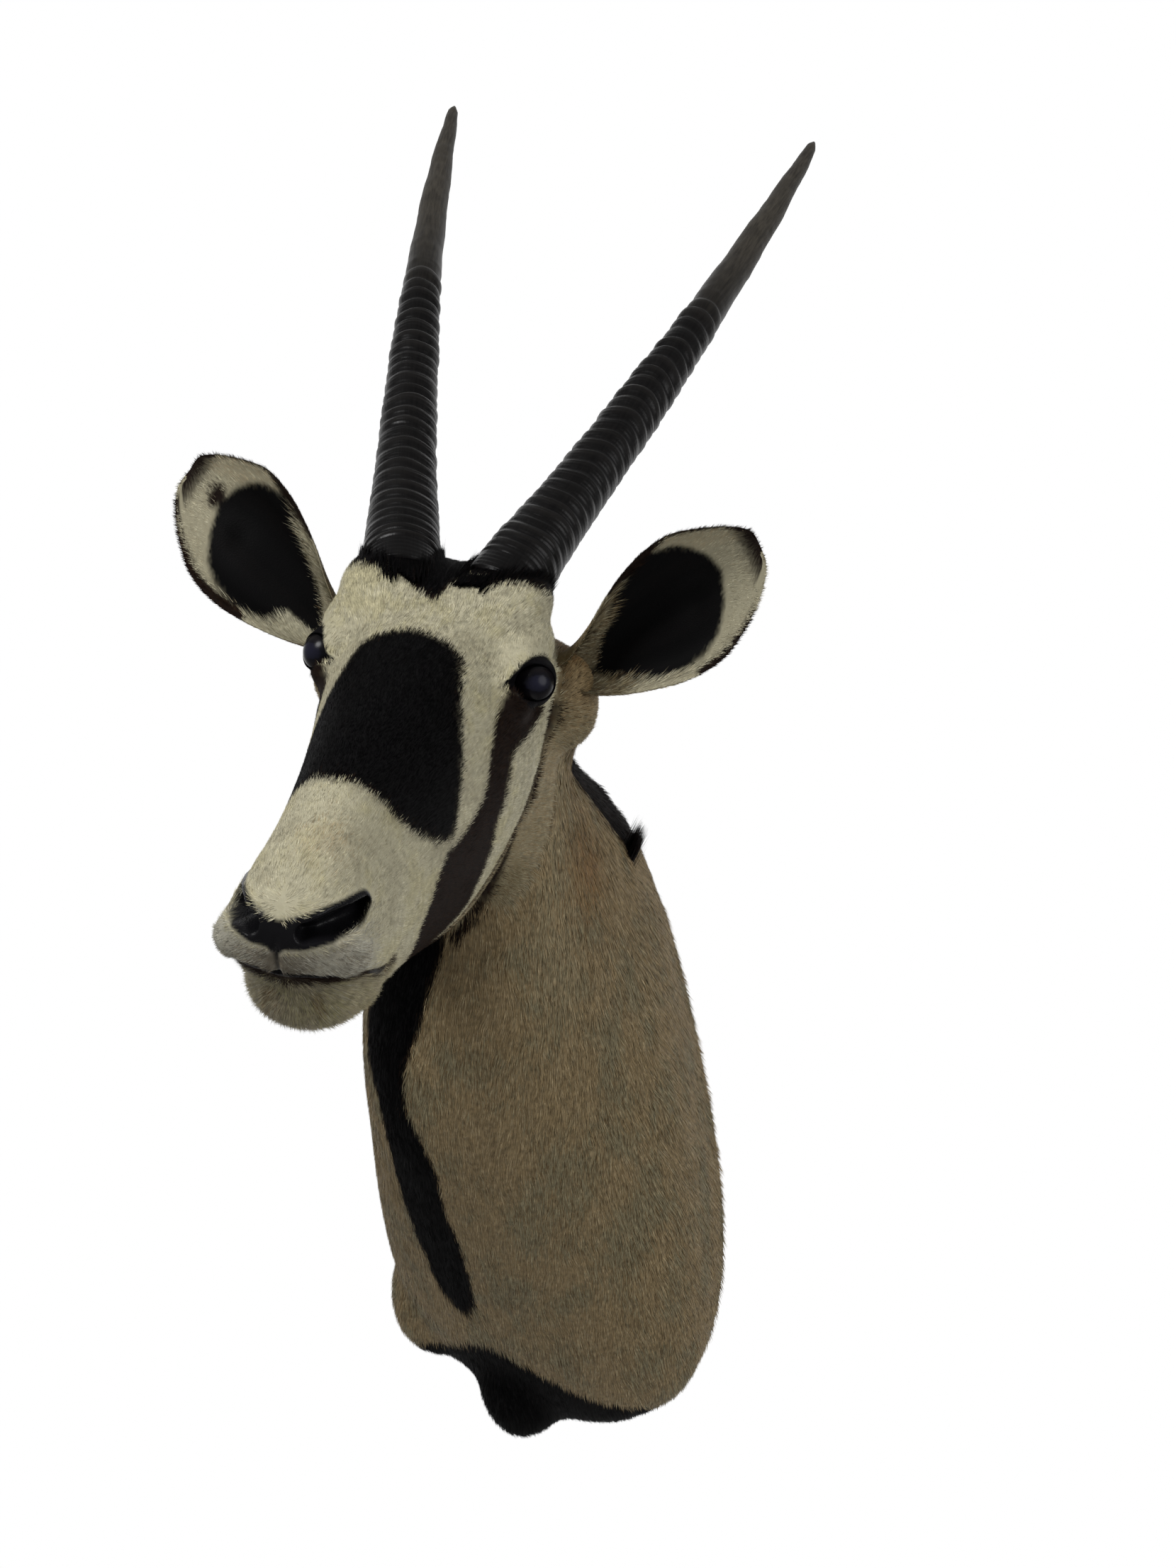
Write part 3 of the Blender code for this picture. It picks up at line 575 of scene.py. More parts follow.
# the edge of the jaw where it stands clear of the neck, with painted shadow along it on the neck
jaw_shadow_line = ((0.070, -0.007, -0.164), (0.059, -0.016, -0.198), (0.049, -0.023, -0.219),
            (0.037, -0.030, -0.239), (0.029, -0.035, -0.252))


def brown_marks(heads, on_head):
    """Cheek stripes, dark skin under the throat, and a dark edge behind the cheek and jaw, partly
    painted shade.
    """
    up, out = heads[:, 1], heads[:, 2]
    angle = around_head(heads)
    marked = inside(cheek_stripe, up, angle)
    near = mirrored(heads)
    beyond = behind_cheek(near)
    # a dark line in the crease behind the cheek: partly the coat's dark edge, partly painted shade
    # in the crease
    line = (beyond > -0.0030) & (beyond < 0.0060 * ease((0.10 - up) / 0.05))
    marked |= line & (up > -0.13) & (up < 0.060) & (out > -0.20)
    marked |= (angle > 150) & (up > -0.172) & (up < -0.06)
    # a band of painted shadow on the neck under the edge of the jaw
    distance, where = along_path(near, jaw_shadow_line)
    return (marked & on_head) | (distance < 0.0050 + 0.0012 * where)


def mane_line(y):
    """Sideways place of the nape."""
    return np.interp(y, (-0.39, -0.335, -0.275, -0.215, -0.165, -0.12, 0.0),
                     (0.040, 0.034, 0.021, 0.012, 0.006, 0.002, 0.0))


mane_foot = 0.2                   # the dark band keeps above this height


def outside_mane(worlds):
    """Distance from the dark band along the nape, below 0 inside it; wider to the left."""
    x, y, z = worlds.T
    off = x - mane_line(y)
    left_edge = np.interp(y, (-0.36, -0.30, -0.21, -0.16, -0.125, -0.095, 0.0),
                          (0.043, 0.047, 0.050, 0.054, 0.046, 0.022, 0.013))
    right_edge = np.interp(y, (-0.36, -0.20, -0.095, 0.0), (-0.030, -0.028, -0.018, -0.013))
    nape = np.interp(y, (-0.352, -0.275, -0.165, -0.070, -0.008),
                     (0.400, 0.376, 0.342, 0.304, 0.258))
    lower = np.maximum(nape - 0.060 - z, -0.358 - y)
    return np.maximum(np.maximum(off - left_edge, right_edge - off), lower)


lattice_steps = 61                # cells before the random values repeat


def lattice(points, size, seed):
    """Smooth random values, 0 to 1, that change over the given size."""
    table = np.random.default_rng(seed).random((lattice_steps, lattice_steps, lattice_steps))
    place = points / size + 1000.0
    cell = np.floor(place).astype(int)
    part = ease(place - cell)
    value = np.zeros(len(points))
    for corner in range(8):
        offset = np.array((corner & 1, corner >> 1 & 1, corner >> 2 & 1))
        weight = np.prod(np.where(offset, part, 1 - part), axis=1)
        index = (cell + offset) % lattice_steps
        value += weight * table[index[:, 0], index[:, 1], index[:, 2]]
    return value


# shades of the coat, light to dark within each family
shades = {
    "cream_light": (0.480, 0.448, 0.320),
    "cream": (0.405, 0.374, 0.262),
    "cream_yellow": (0.450, 0.412, 0.262),
    "cream_pale": (0.370, 0.355, 0.290),
    "lip_grey": (0.150, 0.128, 0.095),
    "cream_deep": (0.300, 0.262, 0.172),
    "tan_light": (0.370, 0.292, 0.172),
    "tan": (0.262, 0.192, 0.100),
    "tan_deep": (0.150, 0.104, 0.050),
    "tan_grey": (0.262, 0.226, 0.136),
    "tan_rust": (0.250, 0.150, 0.066),
    "chin": (0.290, 0.262, 0.145),
    "brown": (0.0185, 0.0100, 0.0062),
    "brown_deep": (0.0070, 0.0046, 0.0040),
    "black": (0.0012, 0.0011, 0.0013),
    "black_worn": (0.0038, 0.0032, 0.0033),
}
shade_names = list(shades)
shade_of = {name: index for index, name in enumerate(shade_names)}


def mixed(values, *names_and_limits):
    """Shades that follow a value: their names, with the limits between them."""
    picks = np.array([shade_of[name] for name in names_and_limits[::2]])
    return picks[np.searchsorted(names_and_limits[1::2], values, side='right')]


def layered(shade, *layers):
    """Shades with others laid over them in turn, each where its condition holds."""
    for where, over in layers:
        shade = np.where(where, shade_of[over] if isinstance(over, str) else over, shade)
    return shade


def closeness(points, centre, reach):
    """1 at the centre, fading to nothing at about twice the reach."""
    return bell(np.linalg.norm(points - centre, axis=1), reach)


def neck_shades(worlds, chance, cloud):
    """Tan with grey clouds, paler behind the jaw, rusty at the whorl, dark along the mane."""
    x, y, z = worlds.T
    pale_band = bell(y + 0.345 - 0.25 * (0.30 - z), 0.030) * ease((z - 0.12) / 0.10)
    greyer = cloud + 0.35 * pale_band * (x > 0.03) - 0.10 * ease((z - 0.15) / 0.1)
    whorl = closeness(worlds, (0.104, -0.280, 0.288), 0.034)
    off_mane = outside_mane(worlds)
    high = z > mane_foot
    return layered(np.full(len(worlds), shade_of["tan"]),
                   (chance < 0.22, "tan_light"),
                   ((chance > 0.62) & (cloud > 0.50), "tan_deep"),
                   ((greyer > 0.56) & (chance < 0.70), "tan_grey"),
                   ((pale_band > 0.4) & (x > 0.03) & (chance < 0.30), "tan_light"),
                   (whorl > chance * 1.5, "tan_rust"),
                   ((off_mane < 0.010 * chance) & high, "tan_deep"),
                   ((off_mane < 0.007 * chance) & high, "brown"),
                   ((off_mane < 0.001) & high, "brown_deep"))


def head_shades(heads, worlds, on_head, shade, chance, cloud, rng):
    """Cream face, grey lips and chin, tan behind the cheek and round the roots of the ears."""
    count = len(heads)
    left, up, out = heads.T
    near = mirrored(heads)
    tone = lattice(worlds, 0.020, 3) * 0.55 + lattice(worlds, 0.007, 4) * 0.45
    tone = tone + rng.normal(0, 0.09, count)
    lips = ease((-up - 0.215) / 0.035) * ease((-out - 0.030) / 0.010)
    grey_lip = lips * bell(left, 0.020) * 0.75 + lips * (tone > 0.60) * 0.35
    pink = closeness(heads, (0.012, -0.205, -0.004), 0.014)
    cream = layered(mixed(tone, "cream_yellow", 0.40, "cream_light", 0.64, "cream"),
                    (chance > 0.89 + 0.07 * ease(up / 0.03), "cream_deep"),
                    (lips * 0.9 > chance, "cream_pale"),
                    (grey_lip > rng.random(count), "lip_grey"),
                    (pink * 0.35 > chance, "tan_light"))

    beyond = behind_cheek(near + rng.normal(0, 0.0015, (count, 3)))
    behind = (beyond > 0.001) & (around_head(heads) > 60)
    pale = behind & (chance < 0.62 - 0.35 * ease((up - 0.03) / 0.05))
    ear_foot = closeness(near, (0.100, 0.085, -0.075), 0.035)
    mottled = layered(mixed(cloud, "tan", 0.52, "tan_deep"), (chance > 0.86, "brown"))
    under_ear = closeness(near, (0.088, 0.098, -0.064), 0.013)
    dark_root = behind & (left < 0) & (up > 0.02) & (out > -0.085) & (chance < 0.85)

    level = lip_level(heads)
    chin = (up < -0.205) & (out < level + 0.001) & on_head & (around_head(heads) > 40)
    shadow = chin * ease((0.017 - (level - out)) / 0.012) * ease((0.050 - np.abs(left)) / 0.014)
    return layered(shade,
                   (on_head & ~behind, cream),
                   (on_head & pale, mixed(cloud, "cream_deep", 0.5, "tan_grey")),
                   (behind & (ear_foot > rng.random(count) * 0.8), mottled),
                   (under_ear > chance * 1.3, mixed(left, "brown", 0.0, "tan_rust")),
                   (dark_root, "brown"),
                   (chin & (chance < 0.80), mixed(cloud, "cream_deep", 0.5, "chin")),
                   (shadow * 1.1 > rng.random(count), "brown"))


edge_blur = 0.0016                # how far the hairs of a marking stray over its edge


def coat_shades(worlds, rng):
    """Which shade grows at each place of the skin."""
    count = len(worlds)
    heads = to_head(worlds)
    on_head = head_share(heads) > 0.5
    blurred = worlds + rng.normal(0, edge_blur, (count, 3))
    wide = worlds + rng.normal(0, edge_blur * 2.6, (count, 3))
    black = black_marks(to_head(blurred), blurred, on_head)
    black_wide = black_marks(to_head(wide), wide, on_head)
    brown = brown_marks(to_head(blurred), on_head)
    chance = rng.random(count)
    cloud = lattice(worlds, 0.030, 1) * 0.6 + lattice(worlds, 0.011, 2) * 0.4
    cloud = cloud + rng.normal(0, 0.10, count)
    shade = neck_shades(worlds, chance, cloud)
    shade = head_shades(heads, worlds, on_head, shade, chance, cloud, rng)
    turn, reach, height = lid_place(mirrored(heads))
    rim = reach < lid_outer(turn) + 0.0006 + rng.normal(0, 0.0005, count)
    return layered(shade,
                   (brown, mixed(chance, "brown", 0.5, "brown_deep")),
                   (rim & on_head & (height > -0.02), "black"),
                   (black, mixed(chance, "brown", 0.45, "brown_deep")),
                   (black & black_wide, mixed(chance, "black", 0.85, "black_worn")))


def mean_colours(draw_shades, draws, shade_between_hairs):
    """Colour of the skin under the hair: the mean of the shades that grow there, darker as painted
    shade between the hairs.
    """
    table = np.array([shades[name] for name in shade_names])
    return sum(table[draw_shades()] for _ in range(draws)) / draws * shade_between_hairs


def paint_coat(mesh, colours):
    attribute = mesh.color_attributes.new("coat", 'FLOAT_COLOR', 'POINT')
    attribute.data.foreach_set("color", np.column_stack((colours, np.ones(len(colours)))).ravel())


def read_values(mesh, name):
    values = np.empty(len(mesh.vertices), dtype=np.float32)
    mesh.attributes[name].data.foreach_get("value", values)
    return values


skin_places = read_points(hide.data)
bare = read_values(hide.data, "bare")
rng = np.random.default_rng(5)
# the skin is painted darker than the hair on it: painted shade between the hairs
colours = mean_colours(lambda: coat_shades(skin_places, rng), draws=16, shade_between_hairs=0.80)
bare_colour = np.array((0.0050, 0.0048, 0.0055))
paint_coat(hide.data, colours + (bare_colour - colours) * bare[:, None])


def new_material(name, roughness=0.5, specular=0.5, metallic=0.0):
    material = bpy.data.materials.new(name)
    material.use_nodes = True
    tree = material.node_tree
    shader = tree.nodes["Principled BSDF"]
    set_inputs(tree, shader, {"Roughness": roughness, "Specular IOR Level": specular,
                              "Metallic": metallic})
    return material, tree, shader


def set_inputs(tree, node, inputs):
    """Each input is a number or a colour on the socket itself, or the output that leads it."""
    for name, value in inputs.items():
        if isinstance(value, bpy.types.NodeSocket):
            tree.links.new(value, node.inputs[name])
        else:
            node.inputs[name].default_value = value


def new_node(tree, kind, inputs=(), **settings):
    node = tree.nodes.new("ShaderNode" + kind)
    for name, value in settings.items():
        setattr(node, name, value)
    set_inputs(tree, node, dict(inputs))
    return node


def own_space(tree):
    """Places in the piece's own space, in metres."""
    return new_node(tree, "TexCoord").outputs["Object"]


def new_ramp(tree, source, *stops):
    """Colours between stops of a place and a colour."""
    ramp = new_node(tree, "ValToRGB", {"Fac": source})
    elements = ramp.color_ramp.elements
    for element, (position, colour) in zip((elements[0], elements[1]), (stops[0], stops[-1])):
        element.position = position
        element.color = (*colour, 1)
    for position, colour in stops[1:-1]:
        elements.new(position).color = (*colour, 1)
    return ramp.outputs["Color"]


def new_bump(tree, height, strength, distance):
    bump = new_node(tree, "Bump", {"Height": height, "Strength": strength, "Distance": distance})
    return bump.outputs["Normal"]


hide_skin, tree, shader = new_material("hide_skin", roughness=0.7, specular=0.08)
coat = new_node(tree, "Attribute", attribute_name="coat")
wetness = new_node(tree, "Attribute", attribute_name="wet")
rough = new_node(tree, "MapRange", {"Value": wetness.outputs["Fac"], "To Min": 0.75,
                                    "To Max": 0.22})
pebbles = new_node(tree, "TexVoronoi", {"Vector": own_space(tree), "Scale": 900.0})
set_inputs(tree, shader, {"Base Color": coat.outputs["Color"],
                          "Roughness": rough.outputs["Result"],
                          "Normal": new_bump(tree, pebbles.outputs["Distance"], 0.20, 0.0005)})
hide.data.materials.clear()
hide.data.materials.append(hide_skin)
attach(hide, "root")
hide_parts("cape")


# ================================================================ eyes
# Glass eyes, painted on the back so that they look almost black, set in the clay of the
# sockets. Lids of bare black skin are tucked round them, drawn out to the inner corner.
eye_glass, tree, shader = new_material("eye_glass", roughness=0.24, specular=0.12)
painted = new_node(tree, "Attribute", attribute_name="painted")
across_pupil = painted.outputs["Vector"]        # along and across the pupil, in eye radii
squeezed = new_node(tree, "Mapping", {"Vector": across_pupil, "Scale": (0.62, 1.0, 0.0)})
reach = new_node(tree, "VectorMath", {0: squeezed.outputs["Vector"]}, operation='LENGTH')
cloudy = new_node(tree, "TexNoise", {"Vector": across_pupil, "Scale": 7.0, "Detail": 3.0})
uneven = new_node(tree, "Math", {0: cloudy.outputs["Fac"], 1: 0.18, 2: reach.outputs["Value"]},
                  operation='MULTIPLY_ADD')
pupil_and_iris = new_ramp(tree, uneven.outputs["Value"],
                          (0.20, (0.0100, 0.0100, 0.0190)), (0.40, (0.0075, 0.0075, 0.0140)),
                          (0.47, (0.0030, 0.0028, 0.0046)), (0.66, (0.0062, 0.0050, 0.0056)),
                          (0.80, (0.0012, 0.0011, 0.0014)))
set_inputs(tree, shader, {"Base Color": pupil_and_iris})

lid_skin, tree, shader = new_material("lid_skin", roughness=0.70, specular=0.04)
creases = new_node(tree, "TexNoise", {"Vector": own_space(tree), "Scale": 420.0, "Detail": 4.0})
lid_black = new_ramp(tree, creases.outputs["Fac"],
                     (0.0, (0.0016, 0.0015, 0.0018)), (1.0, (0.0055, 0.0050, 0.0058)))
set_inputs(tree, shader, {"Base Color": lid_black,
                          "Normal": new_bump(tree, creases.outputs["Fac"], 0.4, 0.0006)})

# from the glass outwards: share of the way to the skin, and height over the straight line
lid_profile = ((-0.10, -0.0016), (0.0, 0.0012), (0.10, 0.0022), (0.30, 0.0022), (0.60, 0.0014),
               (0.85, 0.0005), (1.05, -0.0016))

for side, word in both_sides:
    flip = np.array((side, 1, 1))
    bm = bmesh.new()
    place = Matrix.Translation(to_world(eye_centre * flip)) @ head_matrix
    bmesh.ops.create_uvsphere(bm, u_segments=64, v_segments=40, radius=eye_radius, matrix=place)
    eye = new_piece(f"glass_eye_{word}", bm)
    eye.data.shade_smooth()
    spokes = (to_head(read_points(eye.data)) * flip - eye_centre) / eye_radius
    values = np.column_stack((spokes @ toward_corner, spokes @ lid_upward, np.zeros(len(spokes))))
    add_values(eye.data, "painted", 'FLOAT_VECTOR', values)
    eye.data.materials.append(eye_glass)
    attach(eye, "root")
    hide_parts(f"eye_{word}")

    bm = bmesh.new()
    rings = []
    for share, height in lid_profile:
        ring = []
        for step in range(lid_steps):
            turn = math.radians(lid_turn_steps[step])
            spoke = toward_corner * math.cos(turn) + lid_upward * math.sin(turn)
            inner = lid_inner(lid_turn_steps[step])
            at_glass = math.sqrt(eye_radius ** 2 - inner ** 2)
            reach = inner + (lid_outer_steps[step] - inner) * share
            level = at_glass + (lid_skin_heights[side][step] - at_glass) * share + height
            ring.append(to_world((eye_centre + spoke * reach + eye_gaze * level) * flip))
        rings.append(ring)
    add_loft(bm, rings, closed_ends=False)
    lids = new_piece(f"eyelids_{word}", bm)
    solid = lids.modifiers.new("thickness", 'SOLIDIFY')
    solid.thickness = 0.0010
    solid.offset = -1.0
    rounded = lids.modifiers.new("rounded", 'SUBSURF')
    rounded.levels = rounded.render_levels = 1
    apply_modifiers(lids)
    lids.data.shade_smooth()
    lids.data.materials.append(lid_skin)
    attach(lids, "root")


# ================================================================ horns
# Straight hollow horns on their bone cores: close wavy rings from the foot to the middle,
# bolder and wider spaced further up, then a smooth worn end. The rings carry a dull shine.
horn_spread = {1: math.radians(16.5), -1: math.radians(14.6)}
horn_forward = math.radians(14.8)
horn_bend = np.array((-0.076, 0.0, -0.021))
horn_length, ringed_length, ring_count = 0.742, 0.381, 27
fine_spacing = 0.0037                # between the fine ridges on and between the rings
horn_places, horn_girths = zip(
    (-0.03, 0.0595), (0.027, 0.0570), (0.07, 0.0515), (0.135, 0.0468), (0.20, 0.0444),
    (0.27, 0.0410), (0.345, 0.0366), (0.40, 0.0325), (0.47, 0.0293), (0.543, 0.0262),
    (0.606, 0.0222), (0.660, 0.0178), (0.706, 0.0139), (0.730, 0.0106), (0.742, 0.0040))
horn_sides, ringed_rows, smooth_rows = 48, 416, 104

horn_keratin, tree, shader = new_material("horn", roughness=0.4, specular=0.15)
place = new_node(tree, "Attribute", attribute_name="place")
parts = new_node(tree, "SeparateXYZ", {"Vector": place.outputs["Vector"]})
from_foot, round_horn, standing_out = parts.outputs
along = new_node(tree, "MapRange", {"Value": from_foot, "From Min": 0.34, "From Max": 0.50})
towards_end = along.outputs["Result"]
shortened = new_node(tree, "Math", {0: from_foot, 1: 0.10}, operation='MULTIPLY')
stretched = new_node(tree, "CombineXYZ", {"X": shortened.outputs["Value"], "Y": round_horn})
fibres = new_node(tree, "TexNoise", {"Vector": stretched.outputs["Vector"], "Scale": 420.0,
                                     "Detail": 5.0, "Roughness": 0.65}).outputs["Fac"]
black_tint = new_ramp(tree, fibres, (0.35, (0.0014, 0.0012, 0.0013)),
                      (0.75, (0.0046, 0.0041, 0.0039)))
end_tint = new_ramp(tree, fibres, (0.30, (0.0150, 0.0130, 0.0105)),
                    (0.75, (0.0620, 0.0540, 0.0420)))
blend = new_node(tree, "Mix", {"Factor": towards_end, "A": black_tint, "B": end_tint},
                 data_type='RGBA')
worn = new_node(tree, "MapRange", {"Value": standing_out, "From Min": 0.55, "From Max": 1.0,
                                   "To Max": 0.45})
worn_tint = new_node(tree, "Mix", {"Factor": worn.outputs["Result"],
                                   "A": blend.outputs["Result"],
                                   "B": (0.0120, 0.0105, 0.0095, 1)}, data_type='RGBA')
rough = new_node(tree, "MapRange", {"Value": towards_end, "To Min": 0.30, "To Max": 0.55})
set_inputs(tree, shader, {"Base Color": worn_tint.outputs["Result"],
                          "Roughness": rough.outputs["Result"],
                          "Normal": new_bump(tree, fibres, 0.35, 0.0008)})


def mesh_piece(name, points, faces):
    """A smooth piece from its points and faces."""
    sketch = bpy.data.meshes.new("sketch")
    sketch.from_pydata(points.reshape(-1, 3).tolist(), [], faces)
    bm = bmesh.new()
    bm.from_mesh(sketch)
    bpy.data.meshes.remove(sketch)
    piece = new_piece(name, bm)
    piece.data.shade_smooth()
    return piece


def horn_axis(distance, side):
    spread = horn_spread[side]
    run = np.array((math.sin(spread), math.cos(spread) * math.cos(horn_forward),
                    math.cos(spread) * math.sin(horn_forward)))
    place = horn_foot + run * distance[:, None] + horn_bend * distance[:, None] ** 2
    return to_world(place * (side, 1, 1))


for side, word in both_sides:
    rng = np.random.default_rng(40 + side)
    stops = ringed_length * (np.arange(ring_count + 1) / ring_count) ** 1.25
    stops[1:-1] += rng.normal(0, 0.0009, ring_count - 1)
    distance = np.concatenate((np.linspace(-0.018, ringed_length + 0.03, ringed_rows),
                               np.linspace(ringed_length + 0.031, horn_length, smooth_rows)))
    axis = horn_axis(distance, side)
    run = unit(np.gradient(axis, axis=0))
    front = unit(head_axes[2] - run * (run @ head_axes[2])[:, None])
    across = np.cross(run, front)
    angle = full_turn(horn_sides)
    # each ring leans and waves in its own way round the horn
    grid = np.broadcast_to(distance[:, None], (len(distance), horn_sides)).copy()
    knots = np.arange(-0.04, horn_length + 0.04, 0.022)
    for turns, size in ((1, 0.0024), (2, 0.0015), (3, 0.0010), (5, 0.0005)):
        turned_by = rng.uniform(0, 6.28) + np.cumsum(rng.normal(0, 0.55, len(knots)))
        swell = size * rng.uniform(0.5, 1.3, len(knots))
        grid += (np.sin(angle[None] * turns + np.interp(distance, knots, turned_by)[:, None])
                 * np.interp(distance, knots, swell)[:, None])
    number = np.interp(grid, stops, np.arange(ring_count + 1))
    part = number - np.floor(number)
    height = np.interp(part, (0.0, 0.10, 0.30, 0.55, 0.78, 0.90, 1.0),
                       (0.0, 0.12, 0.60, 0.95, 1.0, 0.45, 0.0))
    strength = 0.60 + 0.40 * rng.random(ring_count + 2)
    height *= strength[np.floor(number).astype(int)]
    fine_wave = np.sin(grid * 2 * np.pi / fine_spacing + 2.6 * np.sin(angle + 1)[None]) * 0.5 + 0.5
    spots = np.column_stack((np.cos(angle)[None].repeat(len(distance), 0).ravel() * 0.02,
                             np.sin(angle)[None].repeat(len(distance), 0).ravel() * 0.02,
                             grid.ravel()))
    patchy = lattice(spots, 0.009, 50 + side).reshape(grid.shape)
    bold = np.interp(distance, (-0.02, 0.04, 0.16, 0.30, 0.37, 0.395),
                     (0.0012, 0.0018, 0.0030, 0.0042, 0.0032, 0.0))[:, None]
    # the rings stand out most on the inner side of the horn
    rounded = 0.80 + 0.26 * np.cos(angle + side * 1.6)[None]
    relief = bold * (height - 1.0) * rounded + bold * 0.25
    fine_share = np.interp(distance, (0.0, 0.28, 0.39), (1.0, 0.7, 0.0))[:, None]
    relief += -0.0006 * fine_wave * patchy * fine_share
    relief += (patchy - 0.5) * 0.0006
    smooth_end = np.interp(distance, (0.36, 0.44, 0.69, 0.742), (0, 1, 1, 0))[:, None]
    relief += smooth_end * 0.0005 * np.sin(distance / 0.017 + 2)[:, None] * np.cos(angle + 1)[None]
    half_girth = np.interp(distance, horn_places, horn_girths)[:, None] / 2
    radius = half_girth + relief
    rings = (axis[:, None] + front[:, None] * (radius * np.cos(angle))[..., None]
             + across[:, None] * (radius * np.sin(angle))[..., None])
    rows, sides = radius.shape
    index = np.arange(rows * sides).reshape(rows, sides)
    following = np.roll(index, -1, axis=1)
    quads = np.stack((index[:-1], following[:-1], following[1:], index[1:]), axis=-1).reshape(-1, 4)
    faces = [tuple(quad) for quad in quads.tolist()]
    faces += [tuple(reversed(index[0].tolist())), tuple(index[-1].tolist())]
    horn = mesh_piece(f"ringed_horn_{word}", rings, faces)
    # for the material: distance from the foot, round the horn, and how far a ring stands out
    from_foot = np.broadcast_to(distance[:, None], radius.shape)
    around = np.minimum(angle, 2 * np.pi - angle)[None] * half_girth
    relief_share = np.clip(height * (bold > 0.0001), 0, 1)
    add_values(horn.data, "place", 'FLOAT_VECTOR',
               np.stack((from_foot, around, relief_share), axis=-1))
    horn.data.materials.append(horn_keratin)
    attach(horn, "root")
    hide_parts(f"horn_{word}")


# ================================================================ ears
# Skinned ears over thin liners: a curled sheet, closed to a tube at the root and open in a
# wide cup. Black inside with a cream margin, a dark tip and a dark hem along the lower edge.
ear_root = np.array((0.072, 0.100, -0.080))
ear_run = np.array((0.84, 0.14, 0.50))
ear_facing = np.array((0.28, -0.90, 0.30))
ear_twist = {1: 0.0, -1: math.radians(-20)}
ear_length, ear_thickness = 0.185, 0.0024
# share of the length, width round the curl, degrees of curl, shift towards the upper edge
ear_ribs = (
    (-0.10, 0.066, 320, 0.000), (0.04, 0.070, 300, -0.004), (0.14, 0.080, 248, -0.008),
    (0.26, 0.093, 194, -0.0060), (0.40, 0.110, 152, 0.0002), (0.55, 0.123, 128, 0.0058),
    (0.70, 0.119, 110, 0.0105), (0.82, 0.094, 96, 0.0130), (0.92, 0.064, 84, 0.0160),
    (0.975, 0.040, 78, 0.0185), (1.00, 0.018, 76, 0.0205))
ear_table = np.array(finer(ear_ribs, 6))
ear_inset = 0.0022                   # the hair covers this much of the edge
ear_rows, ear_columns = 108, 61


def turned(vector, axis, angle):
    return (vector * math.cos(angle) + np.cross(axis, vector) * math.sin(angle)
            + axis * (axis @ vector) * (1 - math.cos(angle)))


def ear_axes(side):
    run = unit(ear_run)
    facing = unit(ear_facing - run * (ear_facing @ run))
    edge = np.cross(run, facing)
    if edge[1] < 0:
        edge = -edge
    facing = turned(facing, run, ear_twist[side])
    edge = turned(edge, run, ear_twist[side])
    return [(axis * (side, 1, 1)) @ head_axes for axis in (run, facing, edge)]


def ear_points(side, share, across):
    """Places on the middle of the ear's sheet, from root to tip and -1 to 1 across."""
    run, facing, edge = ear_axes(side)
    width, curl, shift = [np.interp(share, ear_table[:, 0], ear_table[:, i]) for i in (1, 2, 3)]
    half_curl = np.radians(curl) / 2
    radius = width / (2 * half_curl)
    angle = half_curl * across * (1 - ear_inset / width)
    # low folds along the inside of the cup
    folds = 0.0018 * np.sin(across * 7.5 + 0.8 * side) * ease((share - 0.15) / 0.2)
    folds = folds * ease((0.9 - share) / 0.3) * ease((0.9 - np.abs(across)) / 0.3)
    radius_here = radius + folds
    along = np.minimum(share * ear_length, ear_length - ear_inset)
    return (to_world(ear_root * (side, 1, 1)) + run * along[..., None]
            + edge * (radius_here * np.sin(angle) + shift)[..., None]
            + facing * (radius - radius_here * np.cos(angle))[..., None])


